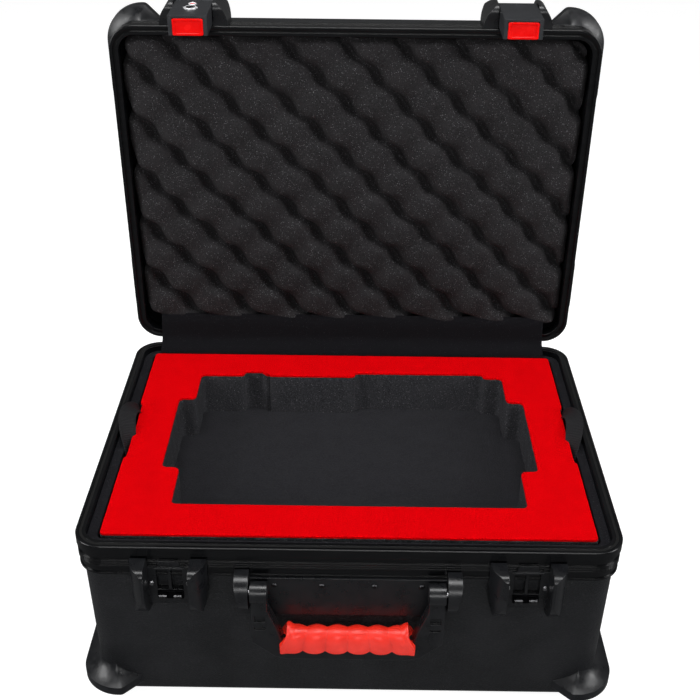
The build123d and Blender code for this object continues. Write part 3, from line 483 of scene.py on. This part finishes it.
CAD_FINISHES = {
    "abs_black": GRAIN,
    "abs_satin": SATIN,
    "bumper_black": BUMPER,
    "rim_black": RIM,
    "rubber_black": SEAL,
    "felt_charcoal": FELT,
    "foam_charcoal": TRAY_FOAM,
    "foam_red": RED_FOAM,
    "webbing_black": WEBBING,
    "steel_bright": BRIGHT_STEEL,
    "steel_black": DARK_STEEL,
    "chrome_key": KEY_SILVER,
    "red_plastic": RED,
    "red_rubber": GRIP,
}
NODE_FINISHES = {
    "latch_arm_left": COVER,
    "latch_arm_right": COVER,
    "striker_left": STRIKER,
    "striker_right": STRIKER,
    "tray_floor": FLOOR_FOAM,
    "key_cylinder": DARK_STEEL,
    "base_liner": LINER_FELT,
}
for part in frame["record"]["subparts"]:
    finish = NODE_FINISHES.get(part["node"], CAD_FINISHES[part["material_slot"]])
    node = frame["nodes"][part["node"]]
    node.data.materials.clear()
    node.data.materials.append(finish)


# Lid foam: convoluted, with pits along diagonal furrows
FOAM_HALF_X = 249.3 * MM
FOAM_FRONT = -178 * MM
FOAM_BACK = 171 * MM
FOAM_CORNER = 18 * MM
FOAM_TOP = 2.4 * MM  # highest crests, behind the lid's edge
FOAM_RELIEF = 20 * MM
FOAM_BASE = 52 * MM
FOAM_COLUMNS = 248
FOAM_ROWS = 176
FURROW_PITCH = 62.5 * MM
FURROW_AT = -93 * MM
FURROW_BREADTH = 0.34
FURROW_POWER = 1.7
FURROW_SHARE = 0.6  # a furrow's depth between pits, as a share of a pit's
FURROW_SWAY = 0.12
PIT_PITCH = 61.2 * MM
PIT_AT = -237 * MM
PIT_BREADTH = 0.2
CREST_DIP = 0.05
WANDER = 1.6 * MM
BORDER_ROLL = 9 * MM
BORDER_DRAW = 7 * MM
BORDER_REACH = 16 * MM


def convoluted_foam():
    """Height over a rounded rectangle. Furrows are bell curves of a sine's absolute value, so
    crests are broad and nearly flat. Along a furrow, a cosine makes the bell deeper and wider at
    each pit. The border rolls back and is drawn in where a furrow meets it."""
    across = np.linspace(-1, 1, FOAM_COLUMNS)
    along = np.linspace(-1, 1, FOAM_ROWS)
    s, t = np.meshgrid(across, along)
    half_y = (FOAM_BACK - FOAM_FRONT) / 2
    x = s * FOAM_HALF_X
    y = t * half_y
    corner_x = np.clip((np.abs(x) - FOAM_HALF_X + FOAM_CORNER) / FOAM_CORNER, 0, 1)
    corner_y = np.clip((np.abs(y) - half_y + FOAM_CORNER) / FOAM_CORNER, 0, 1)
    x -= np.sign(x) * FOAM_CORNER * corner_x * (1 - np.sqrt(1 - corner_y**2 / 2))
    y -= np.sign(y) * FOAM_CORNER * corner_y * (1 - np.sqrt(1 - corner_x**2 / 2))
    y += (FOAM_BACK + FOAM_FRONT) / 2
    wander = WANDER * np.sin(x / 37e-3 + 2 * np.sin(y / 61e-3))
    furrow = math.pi * (x - y - FURROW_AT + wander) / FURROW_PITCH
    pit = TAU * (x + y - PIT_AT + wander) / PIT_PITCH
    pits = 0.5 + 0.5 * np.cos(pit)
    edge = np.abs(np.sin(furrow + FURROW_SWAY * np.sin(pit)))
    bell = np.exp(-((edge / (FURROW_BREADTH + PIT_BREADTH * pits)) ** FURROW_POWER))
    height = 1 - bell * (FURROW_SHARE + (1 - FURROW_SHARE) * pits) - CREST_DIP * pits * (1 - bell)
    reach = np.minimum(1 - np.abs(s), (1 - np.abs(t)) * half_y / FOAM_HALF_X) * FOAM_HALF_X
    roll = (1 - smooth(reach, 0, BORDER_ROLL)) ** 2
    inward = (1 - np.clip(height, 0, 1)) * BORDER_DRAW * (1 - smooth(reach, 0, BORDER_REACH))
    x -= np.sign(s) * 0.6 * inward * (np.abs(s) > 0.93)
    y -= np.sign(t) * inward * (np.abs(t) > 0.9)
    depth = FOAM_TOP + FOAM_RELIEF * (1 - height) * (1 - 0.25 * roll) + BORDER_ROLL * roll
    top = stack(x, CENTRE_Y + y, LID_Z + depth)
    skirt = np.pad(top, ((1, 1), (1, 1), (0, 0)), mode="edge")
    skirt[0, :, 2] = skirt[-1, :, 2] = LID_Z + FOAM_BASE
    skirt[:, 0, 2] = skirt[:, -1, 2] = LID_Z + FOAM_BASE
    return surface("convoluted_foam", open_lid(skirt), ring=False, sharp=70)


lid_pad = dress(convoluted_foam(), LID_FOAM, "lid", ["lid_foam"])


# Tray: a red sheet on a charcoal body, both with the stepped cut-out
tray_low, tray_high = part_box("tray_top")
body_low, body_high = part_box("tray_foam")
CUT_HALF_X = 176 * MM
CUT_FRONT = -120.5 * MM
CUT_BACK = 120 * MM
STEP_HALF_X = 194.5 * MM
STEP_FRONT = -61 * MM
STEP_BACK = 69 * MM
BAY_BACK = 128 * MM
SMALL_BAY = (-125.5 * MM, -100.5 * MM)
BIG_BAY = (4 * MM, 154 * MM)
NOTCH_FRONT = -44 * MM
NOTCH_BACK = 58 * MM
NOTCH_DEPTH = 2.2 * MM
HOLE_CORNER = 7 * MM
TRAY_CORNER = 5 * MM
DENT = 3 * MM  # how far a strap pulls the foam's edge down
DENT_MIDDLE = 7 * MM
DENT_HALF = 46 * MM
DENT_INNER = 200 * MM
CORNER_SHARE = 0.45  # most of a side that one rounded corner may take
CORNER_POINTS = 9
SIDE_POINTS = 40
SHEET_TURNS = 900
EDGE_POINTS = 5


def rounded_outline(corners, radius):
    """A closed outline whose corners are turned with arcs: each arc's points are the corner's two
    tangent points joined by a quadratic curve that bends towards the corner."""
    corners = np.array(corners)
    before = np.roll(corners, 1, axis=0) - corners
    after = np.roll(corners, -1, axis=0) - corners
    reach_before = np.minimum(radius, CORNER_SHARE * np.linalg.norm(before, axis=1))[:, None]
    reach_after = np.minimum(radius, CORNER_SHARE * np.linalg.norm(after, axis=1))[:, None]
    start = corners + before / np.linalg.norm(before, axis=1)[:, None] * reach_before
    end = corners + after / np.linalg.norm(after, axis=1)[:, None] * reach_after
    t = np.linspace(0, 1, CORNER_POINTS)[None, :, None]
    arcs = (1 - t) ** 2 * start[:, None] + 2 * t * (1 - t) * corners[:, None] + t**2 * end[:, None]
    return arcs.reshape(-1, 2)


def radius_round(outline, angles):
    """The outline's distance from its middle at each angle, read off a dense copy of it."""
    closed = np.vstack([outline, outline[:1]])
    t = np.linspace(0, 1, SIDE_POINTS, endpoint=False)[None, :, None]
    dense = (closed[:-1, None] * (1 - t) + closed[1:, None] * t).reshape(-1, 2)
    turn = np.arctan2(dense[:, 1], dense[:, 0])
    order = np.argsort(turn)
    distance = np.hypot(dense[:, 0], dense[:, 1])
    return np.interp(angles, turn[order], distance[order], period=TAU)


def cut_out_corners():
    """The cut-out's corners, going round from the front left."""
    return [
        (-CUT_HALF_X, CUT_FRONT),
        (CUT_HALF_X, CUT_FRONT),
        (CUT_HALF_X, STEP_FRONT),
        (STEP_HALF_X, STEP_FRONT),
        (STEP_HALF_X, STEP_BACK),
        (CUT_HALF_X, STEP_BACK),
        (CUT_HALF_X, CUT_BACK),
        (BIG_BAY[1], CUT_BACK),
        (BIG_BAY[1], BAY_BACK),
        (BIG_BAY[0], BAY_BACK),
        (BIG_BAY[0], CUT_BACK),
        (SMALL_BAY[1], CUT_BACK),
        (SMALL_BAY[1], BAY_BACK),
        (SMALL_BAY[0], BAY_BACK),
        (SMALL_BAY[0], CUT_BACK),
        (-CUT_HALF_X, CUT_BACK),
        (-CUT_HALF_X, STEP_BACK),
        (-STEP_HALF_X, STEP_BACK),
        (-STEP_HALF_X, STEP_FRONT),
        (-CUT_HALF_X, STEP_FRONT),
    ]


def tray_corners():
    """The tray's outer corners, with a strap notch in each short side."""
    side = tray_high.x
    front = tray_low.y - CENTRE_Y
    back = tray_high.y - CENTRE_Y
    notch = side - NOTCH_DEPTH
    right = [
        (side, front),
        (side, NOTCH_FRONT),
        (notch, NOTCH_FRONT),
        (notch, NOTCH_BACK),
        (side, NOTCH_BACK),
        (side, back),
    ]
    left = [(-x, y) for x, y in reversed(right)]
    return right + left


def foam_sheet(name, low, high, edge, wobble):
    """A foam sheet with a hole: at each angle round the middle, a closed profile goes up the inner
    wall, round its edge, across the top, down the outer wall and back underneath. Sine sums make
    the cut walls uneven, and near a strap the outer edge is pulled down by a bell curve."""
    hole = rounded_outline(cut_out_corners(), HOLE_CORNER)
    outside = rounded_outline(tray_corners(), TRAY_CORNER)
    corner_turns = [np.arctan2(outline[:, 1], outline[:, 0]) for outline in (hole, outside)]
    even_turns = np.linspace(-math.pi, math.pi, SHEET_TURNS)[:-1]
    angles = np.unique(np.round(np.concatenate([*corner_turns, even_turns]), 4))
    inner = radius_round(hole, angles)
    outer = radius_round(outside, angles)
    turn = np.linspace(0, math.pi / 2, EDGE_POINTS)
    top = np.linspace(0, 1, 14)[1:-1]
    bend = edge * (1 - np.cos(turn))
    rise = high - edge + edge * np.sin(turn)
    wall = np.linspace(low, high - edge, 7)[:-1]
    upright = np.zeros_like(wall)
    heights = np.concatenate([wall, rise, np.full_like(top, high), rise[::-1], wall[::-1]])
    shift = np.concatenate([upright, bend, np.full_like(top, edge), bend[::-1], upright])
    one_side = len(wall) + len(turn)
    share = np.concatenate([np.zeros(one_side), top, np.ones(one_side)])
    radius = inner[None] * (1 - share[:, None]) + outer[None] * share[:, None]
    radius = radius + shift[:, None] * (1 - 2 * share[:, None])
    on_wall = np.minimum(share, 1 - share)[:, None] < 0.01
    side = np.where(share < 0.5, 1, -1)[:, None] * on_wall
    level = heights[:, None]
    ripple = np.sin(angles * 61 + level * 700) + np.sin(angles * 97 - level * 1100)
    radius = radius + side * wobble * (ripple + np.sin(angles * 23)) / 3
    x = radius * np.cos(angles)
    y = radius * np.sin(angles)
    outer_share = smooth(share, 0.45, 1.0)[:, None]
    strap = np.exp(-(((y - DENT_MIDDLE) / DENT_HALF) ** 4))
    strap = strap * smooth(np.abs(x), DENT_INNER, tray_high.x)
    z = level - DENT * strap * outer_share * (0.7 + 0.3 * np.sin(y / (7 * MM)))
    return surface(name, stack(x, y + CENTRE_Y, z), tube=True, sharp=55)


red_sheet = foam_sheet("red_foam_sheet", tray_low.z, tray_high.z, 0.9 * MM, 0.15 * MM)
dress(red_sheet, RED_FOAM, "tray", ["tray_top"])
body_sheet = foam_sheet("charcoal_foam_body", body_low.z, body_high.z, 0.8 * MM, 0.7 * MM)
dress(body_sheet, TRAY_FOAM, "tray", ["tray_foam"])


# Pull straps: webbing that stands up in an arch out of each notch
STRAP_WIDTH = 19 * MM
STRAP_THICK = 1.5 * MM
STRAP_FOOT = 168 * MM
STRAP_TOP = 205.5 * MM
STRAP_X = 236.4 * MM
STRAP_LEAN = 7.5 * MM  # how much further out its top is
STRAP_FRONT = NOTCH_FRONT + 10 * MM
STRAP_BACK = NOTCH_BACK + 4 * MM


def ribbon(name, path, width_way, width, thick):
    """A flat band carried along a path: each section is a rounded flat loop, set across the path
    along width_way made square to it."""
    tangent = np.gradient(path, axis=0)
    tangent /= np.linalg.norm(tangent, axis=1)[:, None]
    side = width_way - tangent * (width_way * tangent).sum(1)[:, None]
    side /= np.linalg.norm(side, axis=1)[:, None]
    face = np.cross(tangent, side)
    turn = np.linspace(0, TAU, 25)[:-1]
    flat = np.sign(np.cos(turn)) * np.abs(np.cos(turn)) ** 0.35 * width / 2
    tall = np.sign(np.sin(turn)) * np.abs(np.sin(turn)) ** 0.6 * thick / 2
    points = path[:, None] + side[:, None] * flat[:, None] + face[:, None] * tall[:, None]
    piece = surface(name, points, sharp=60)
    run = np.concatenate([[0], np.cumsum(np.linalg.norm(np.diff(path, axis=0), axis=1))])
    add_uv(piece, *np.broadcast_arrays(run[:, None], flat))
    return piece, float(run[-1])


def strap_path(hand):
    """An arch beside the tray: it rises steeply at the back and falls slowly to the front, as a
    sine of a warped run to a low power, leans outwards with the sine's square, and moves forward
    with an S-curve."""
    t = np.linspace(0, 1, 90)
    bow = np.sin(math.pi * t**0.72)
    y = CENTRE_Y + STRAP_BACK - (STRAP_BACK - STRAP_FRONT) * smooth(t, -0.3, 1.3)
    z = STRAP_FOOT + (STRAP_TOP - STRAP_FOOT) * bow**0.42
    x = hand * (STRAP_X + STRAP_LEAN * bow**2)
    way = stack(hand * bow, 1.1 * np.cos(math.pi * t**0.8), 0.3 * bow)
    return stack(x, y, z), way


for hand, side in ((-1, "left"), (1, "right")):
    path, way = strap_path(hand)
    strap, length = ribbon("webbing_strap_" + side, path, way, STRAP_WIDTH, STRAP_THICK)
    dress(strap, WEBBING, "tray", ["pull_strap_" + side])
    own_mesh(strap)


# Felt strip over the hinge, from behind the lid foam to behind the tray
FELT_HALF = 231 * MM
FELT_THICK = 1.2 * MM
FELT_WAVE = 0.35 * MM
FELT_POINTS = [(176, 238), (170, 230), (167.4, 218), (165, 208)]  # lid side, back and up, in mm
FELT_POINTS += [(158, 203.4), (151, 201.2), (148, 196), (147.6, 178)]  # tray side


def felt_strip():
    """A strip whose profile passes through a few points, rounded by averaging, with slow sine
    waves across its width, and a second layer behind it for its thickness."""
    points = np.array(FELT_POINTS) * MM
    t = np.linspace(0, len(points) - 1, 60)
    profile = np.stack([np.interp(t, np.arange(len(points)), points[:, i]) for i in (0, 1)], axis=1)
    kernel = np.ones(9) / 9
    padded = np.pad(profile, ((4, 4), (0, 0)), mode="edge")
    profile = np.stack([np.convolve(padded[:, i], kernel, mode="valid") for i in (0, 1)], axis=1)
    tangent = np.gradient(profile, axis=0)
    tangent /= np.linalg.norm(tangent, axis=1)[:, None]
    normal = np.stack([tangent[:, 1], -tangent[:, 0]], axis=1)
    x = np.linspace(-FELT_HALF, FELT_HALF, 140)
    wave = FELT_WAVE * (np.sin(x / (23 * MM)) + np.sin(x / (41 * MM) + 1))
    layers = []
    for offset in (0.5, -0.5):
        flat = profile[:, None] + normal[:, None] * (wave[None, :, None] + offset * FELT_THICK)
        layers.append(stack(x[None], flat[..., 0], flat[..., 1]))
    loop = np.concatenate([layers[0], layers[1][:, ::-1]], axis=1)
    run = np.linalg.norm(np.diff(profile, axis=0), axis=1).sum()
    return surface("hinge_felt", loop, sharp=60), float(run)


hinge_felt, felt_run = felt_strip()
dress(hinge_felt, FELT, None, ["hinge_cover_base", "hinge_cover_lid"])
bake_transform(hinge_felt)


# Corner bumpers
BUMPER_PROUD = 10 * MM
BUMPER_FRONT_LEG = 58 * MM
BUMPER_SIDE_LEG = 112 * MM
BUMPER_ARC = 30 * MM
BUMPER_NOSE = 34 * MM
BUMPER_ROOT = 14 * MM
BUMPER_CHAMFER = 15 * MM
BUMPER_LIP_END = 24.6 * MM
BUMPER_EDGE = 0.9 * MM  # how far its far edge is rounded in
SCOOP_DEPTH = 22 * MM
SCOOP_RISE = 9 * MM
MITRE = 1.41  # how fast a slanted end recedes as the inset grows
HIDDEN = 1 * MM  # how deep in the shell's wall a bumper's back lies
LEAST_DEPTH = 0.25 * MM
SKIN_DEPTH = 0.05 * MM
SHELL_CORNER = 23.6 * MM
LID_BUMPER_TOP = LID_Z + 68 * MM
BUMPER_LEVELS = [0, 0.5, 1.4, 2, 3, 4.5, 6, 8, 9.5, 11, 13, 14.4, 15.4, 18, 21, 23.6, 24.6]
BUMPER_LEVELS += [25.2, 26, 27, 28.5, 30, 32, 34.5, 37, 40, 43, 46, 50, 54]
# Rises from a bumper's far face and the shell's inset at each, in mm
BASE_SKIN = [(0, 30), (1.9, 30), (2, 17.5), (3, 13.4), (5, 10.7), (8, 9), (11, 8.3), (60, 7.2)]
LID_SKIN = [(0, 30), (5.9, 30), (6, 15), (7, 11), (9, 8.2), (12, 6.5), (15, 5.9), (70, 4.5)]


def bumper_ring(inset, skin):
    """One level of a bumper, in distances in from the rim's sides: up the slanted nose, round the
    big arc, along the leg, and back along a line hidden in the shell's wall. Points that would sink
    deeper are kept on that line."""
    proud = inset - BUMPER_PROUD
    root = np.array([BUMPER_FRONT_LEG - MITRE * inset, BUMPER_ROOT])
    nose = np.array([BUMPER_NOSE - 0.41 * inset, proud])
    turn = np.array([proud, BUMPER_ARC])
    heel = np.array([proud, BUMPER_SIDE_LEG - BUMPER_ROOT - BUMPER_PROUD - 0.41 * inset])
    tail = np.array([BUMPER_ROOT, BUMPER_SIDE_LEG - MITRE * inset])
    chord = nose - turn
    radius = (chord @ chord) / (2 * chord[0])
    centre = turn + [radius, 0]
    last = math.atan2(nose[1] - centre[1], nose[0] - centre[0])
    bend = np.linspace(last if last < 0 else last - TAU, -math.pi, 34)[:, None]
    arc = centre + radius * np.hstack([np.cos(bend), np.sin(bend)])
    step = np.linspace(0, 1, 14)[:, None]
    front_end = root + (nose - root) * step[:-1]
    leg = turn + (heel - turn) * step[1:]
    back_end = heel + (tail - heel) * step[1:]
    path = np.vstack([front_end, arc, leg, back_end])
    path[1:-1] = (path[:-2] + 2 * path[1:-1] + path[2:]) / 4
    corner = skin + SHELL_CORNER
    into = corner - path
    both = (into > 0).all(1)
    round_corner = np.linalg.norm(np.maximum(into, 1e-6), axis=1) - SHELL_CORNER
    distance = np.where(both, round_corner, (into - SHELL_CORNER).max(1))
    way = np.where(both[:, None], into / np.linalg.norm(into, axis=1)[:, None], 0)
    way[~both] = np.where((into[~both, :1] > into[~both, 1:]), [[1, 0]], [[0, 1]])
    outer = path - way * np.maximum(LEAST_DEPTH - distance, 0)[:, None]
    inner = path + way * (distance - SKIN_DEPTH)[:, None]
    return np.vstack([outer, inner[::-1]])


def bumper(name, side_x, side_y, far, up, skin, turn):
    """A bumper: rings stacked from its far face. The inset starts at a rounded chamfer, runs along
    a flat lip, and then grows as one minus a falling exponential, which is the scoop."""
    rise = np.array(BUMPER_LEVELS) * MM
    chamfer = BUMPER_CHAMFER - rise
    edge = BUMPER_EDGE * np.exp(-rise / (0.6 * MM))
    lip = np.where(rise < BUMPER_CHAMFER, np.maximum(chamfer, 0) + edge, 0)
    scoop = SCOOP_DEPTH * (1 - np.exp(-np.maximum(rise - BUMPER_LIP_END, 0) / SCOOP_RISE))
    inset = lip + scoop
    walls = np.interp(rise, *(np.array(skin).T * MM)) + HIDDEN
    rings = np.stack([bumper_ring(value, wall) for value, wall in zip(inset, walls)])
    x = side_x * (HALF_WIDTH - rings[..., 0])
    y = CENTRE_Y + side_y * (HALF_DEPTH - rings[..., 1])
    z = far + up * rise[:, None]
    return surface(name, turn(stack(x, y, z)), sharp=28)


def as_drawn(points):
    """Leaves points where they are."""
    return points


for row, side_y in (("front", -1), ("back", 1)):
    for column, side_x in (("left", -1), ("right", 1)):
        ending = row + "_" + column
        low = bumper("foot_" + ending, side_x, side_y, 0.0, 1, BASE_SKIN, as_drawn)
        dress(low, BUMPER, "base", ["base_bumper_" + ending])
        place = (side_x, side_y, LID_BUMPER_TOP, -1)
        high = bumper("lid_corner_" + ending, *place, LID_SKIN, open_lid)
        dress(high, BUMPER, "lid", ["lid_bumper_" + ending])


# Hand grip
GRIP_LOBES = 6
GRIP_CREASE = 0.26  # depth of a crease, as a share of the grip's half width
GRIP_SLANT = 6.5 * MM
GRIP_END = 1.6 * MM
GRIP_END_SHARES = [1.0, 0.985, 0.94, 0.8, 0.5, 0.05]  # the end's rounded face, ring by ring
grip_low, grip_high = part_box("handle_grip")


def hand_grip():
    """A rounded-box section carried along the bail's bar. Six finger lobes swell it by the absolute
    value of a sine to a power, both ends flare, and the ends slant in towards the top."""
    centre_y = (grip_low.y + grip_high.y) / 2
    centre_z = (grip_low.z + grip_high.z) / 2
    half_y = (grip_high.y - grip_low.y) / 2
    half_z = (grip_high.z - grip_low.z) / 2
    s = np.linspace(-1, 1, 230)
    ends = np.array(GRIP_END_SHARES)
    rows = np.concatenate([np.full(len(ends), -1.0), s[1:-1], np.full(len(ends), 1.0)])
    shrink = np.concatenate([ends[::-1], np.ones(len(s) - 2), ends])[:, None]
    poke = (1 - shrink) ** 0.5
    turn = np.linspace(0, TAU, 97)[:-1][None]
    box_y = np.sign(np.cos(turn)) * np.abs(np.cos(turn)) ** 0.95
    box_z = np.sign(np.sin(turn)) * np.abs(np.sin(turn)) ** 0.88
    lobe = np.abs(np.sin(GRIP_LOBES * math.pi * (rows + 1) / 2))[:, None] ** 1.15
    middle = 1 - smooth(np.abs(rows), 0.86, 0.97)[:, None]
    flare = smooth(np.abs(rows), 0.84, 1.0)[:, None]
    swell = 1 - GRIP_CREASE * (1 - lobe) * middle
    upper = np.maximum(box_z, 0)
    wide = half_y * (swell * 0.93 + 0.07 * flare)
    tall = half_z * ((0.68 + 0.09 * lobe) * middle + 0.88 * (1 - middle) + 0.12 * flare * upper)
    tall = np.where(box_z > 0, tall, half_z * 0.98)
    y = centre_y + wide * box_y * shrink
    z = centre_z + tall * box_z * shrink
    length = grip_high.x - GRIP_SLANT * smooth(box_z * tall, -0.2 * half_z, 0.8 * half_z)
    x = rows[:, None] * (length - GRIP_END) + np.sign(rows)[:, None] * GRIP_END * poke
    return surface("hand_grip", stack(x, y, z), sharp=60)


dress(hand_grip(), GRIP, "handle", ["handle_grip"])


# Push releases: a raised border round a sunk panel
LOOP_POINTS = 48
RELEASE_CORNER = 0.7 * MM


def rounded_loop(half_w, half_h):
    """A rounded rectangle's outline: a superellipse whose power falls as the corner gets small
    beside the sides, but no lower than 0.12."""
    turn = np.linspace(0, TAU, LOOP_POINTS + 1)[:-1] + TAU / (2 * LOOP_POINTS)
    power = max(0.12, 1.6 * RELEASE_CORNER / min(half_w, half_h))
    across = np.sign(np.cos(turn)) * np.abs(np.cos(turn)) ** power
    upward = np.sign(np.sin(turn)) * np.abs(np.sin(turn)) ** power
    return half_w * across, half_h * upward


def raised_panel(name, middle, half_w, half_h, profile):
    """Stacked rounded loops that face the arm's tip: each row of the profile gives how far in the
    loop is drawn and how far it stands out."""
    rows = []
    for inset, out in profile:
        across, upward = rounded_loop(half_w - inset, half_h - inset)
        rows.append(stack(middle[0] + across, middle[1] + upward, middle[2] - out))
    return surface(name, open_lid(np.stack(rows)), sharp=30)


LATCH_X = 169 * MM
TIP_Z = LID_Z - 38.8 * MM
RELEASE_HALF_X = 15.6 * MM
RELEASE_HALF_Y = 8.55 * MM
RELEASE_Y = FRONT_Y - 9.55 * MM
RELEASE_BODY = [(0.6, -15), (0.6, -11), (0, -10.6), (0, 0.3)]
RELEASE_BORDER = [(0.2, 0.6), (0.6, 0.8), (1.7, 0.8), (2.0, 0.7), (2.5, 0.1), (2.8, 0), (7, 0)]
release_profile = np.array(RELEASE_BODY + RELEASE_BORDER) * MM
for hand, side in ((-1, "left"), (1, "right")):
    middle = (hand * LATCH_X, RELEASE_Y, TIP_Z)
    halves = (RELEASE_HALF_X, RELEASE_HALF_Y)
    panel = raised_panel("push_release_" + side, middle, *halves, release_profile)
    dress(panel, RED, "trigger_" + side, ["latch_trigger_" + side])


# Key lock: a scalloped ring round the key cylinder, with a plain ringed indicator beyond
COVER_Y = FRONT_Y - 21 * MM
LOCK_Z = TIP_Z + 28 * MM
INDICATOR_Z = TIP_Z + 44.5 * MM
SCALLOPS = 8
SCALLOP_DEPTH = 0.13
# Radius and height above the cover, in mm
RING_PROFILE = [(7.4, -0.5), (7.5, 0.9), (7.1, 1.4), (6.2, 1.6), (5.4, 1.5), (5.1, 1.1)]
RING_PROFILE += [(5.0, -0.5)]
DISC_PROFILE = [(2.7, -0.4), (2.7, 0.35), (2.4, 0.5), (0.05, 0.5)]
BEZEL_PROFILE = [(4.4, -0.3), (4.4, 0.5), (4.0, 0.9), (3.2, 0.9), (2.85, 0.5), (2.8, -0.3)]


def turned_piece(name, middle_z, profile, scallops=0, depth=0.0):
    """Rings about an axis that leaves the arm's cover: each row of the profile gives a radius and
    how far out it stands. Scallops draw the radius in with the absolute value of a sine."""
    turn = np.linspace(0, TAU, 97)[:-1]
    dip = 1 - depth * np.abs(np.sin(scallops * turn / 2))
    radius, out = (np.array(profile) * MM).T[:, :, None]
    x = -LATCH_X + radius * dip * np.cos(turn)
    z = middle_z + radius * dip * np.sin(turn)
    return surface(name, open_lid(stack(x, COVER_Y - out, z)), sharp=30)


ring = turned_piece("lock_surround", LOCK_Z, RING_PROFILE, SCALLOPS, SCALLOP_DEPTH)
dress(ring, KEY_SILVER, "latch_arm_left", ["lock_ring"])
disc = turned_piece("indicator_disc", INDICATOR_Z, DISC_PROFILE)
dress(disc, RED, "latch_arm_left", ["lock_indicator"])
bezel = turned_piece("indicator_bezel", INDICATOR_Z, BEZEL_PROFILE)
dress(bezel, KEY_SILVER, "latch_arm_left", ())


# Floor, light and camera
FLOOR_Z = -0.4 * MM
BACKDROP_RADIUS = 8.0
BACKDROP_HEIGHT = 7.0
BACKDROP_INSIDE = 0.1  # how far inside the floor's edge the wall stands
BACKDROP_FOOT = -0.01
PAPER = floor_paper()


def floor_square():
    """A square on the level, just under the feet."""
    side = [-BACKDROP_RADIUS, BACKDROP_RADIUS]
    return surface("studio_floor", stack(*np.meshgrid(side, side), FLOOR_Z), ring=False)


def backdrop_wall():
    """A round wall of paper: circles of one radius, stacked."""
    turn = np.linspace(0, TAU, 97)[:-1]
    height = np.linspace(BACKDROP_FOOT, BACKDROP_HEIGHT, 5)[:, None]
    radius = BACKDROP_RADIUS - BACKDROP_INSIDE
    circle = (radius * np.cos(turn), radius * np.sin(turn))
    return surface("studio_backdrop", stack(*circle, height), caps=False)


floor = floor_square()
wall = backdrop_wall()
wall.visible_diffuse = False
for paper in (floor, wall):
    paper.data.materials.append(PAPER)
    paper.visible_glossy = False  # keeps the paper's glare off the black plastic


CASE_MIDDLE = Vector((0, 0, 0.25))
WORLD_STRENGTH = 0.11


def softbox(name, place, width, height, power):
    """A rectangular area light that points at the case's middle."""
    lamp = bpy.data.lights.new(name, "AREA")
    lamp.shape = "RECTANGLE"
    lamp.size = width
    lamp.size_y = height
    lamp.energy = power
    holder = bpy.data.objects.new(name, lamp)
    bpy.context.scene.collection.objects.link(holder)
    holder.location = place
    aim = CASE_MIDDLE - Vector(place)
    holder.rotation_euler = aim.to_track_quat("-Z", "Y").to_euler()


softbox("left_box", (-1.7, -0.5, 1.1), 0.5, 1.3, 22)
softbox("right_box", (1.7, -0.5, 1.1), 0.5, 1.3, 20)
softbox("top_box", (0, -0.2, 2.2), 1.8, 0.7, 30)
softbox("front_box", (0, -2.4, 1.3), 2.2, 0.5, 20)

world = bpy.data.worlds.new("studio")
bpy.context.scene.world = world
world.use_nodes = True
background = world.node_tree.nodes["Background"]
background.inputs["Color"].default_value = (1, 1, 1, 1)
background.inputs["Strength"].default_value = WORLD_STRENGTH
bpy.context.scene.view_settings.view_transform = "Standard"

CAMERA_PLACE = (0.0035, -0.9915, 0.879)
CAMERA_YAW = -0.00512
CAMERA_PITCH = 0.535
CAMERA_ROLL = 0.0101
CAMERA_LENS = 56.37
camera_data = bpy.data.cameras.new("camera")
camera_data.lens = CAMERA_LENS
camera = bpy.data.objects.new("camera", camera_data)
bpy.context.scene.collection.objects.link(camera)
forward = Vector(
    (
        math.sin(CAMERA_YAW) * math.cos(CAMERA_PITCH),
        math.cos(CAMERA_YAW) * math.cos(CAMERA_PITCH),
        -math.sin(CAMERA_PITCH),
    )
)
level_right = forward.cross(Vector((0, 0, 1))).normalized()
level_up = level_right.cross(forward)
right = level_right * math.cos(CAMERA_ROLL) + level_up * math.sin(CAMERA_ROLL)
above = level_up * math.cos(CAMERA_ROLL) - level_right * math.sin(CAMERA_ROLL)
turned = Matrix((right, above, -forward)).transposed().to_4x4()
camera.matrix_world = Matrix.Translation(CAMERA_PLACE) @ turned
bpy.context.scene.camera = camera
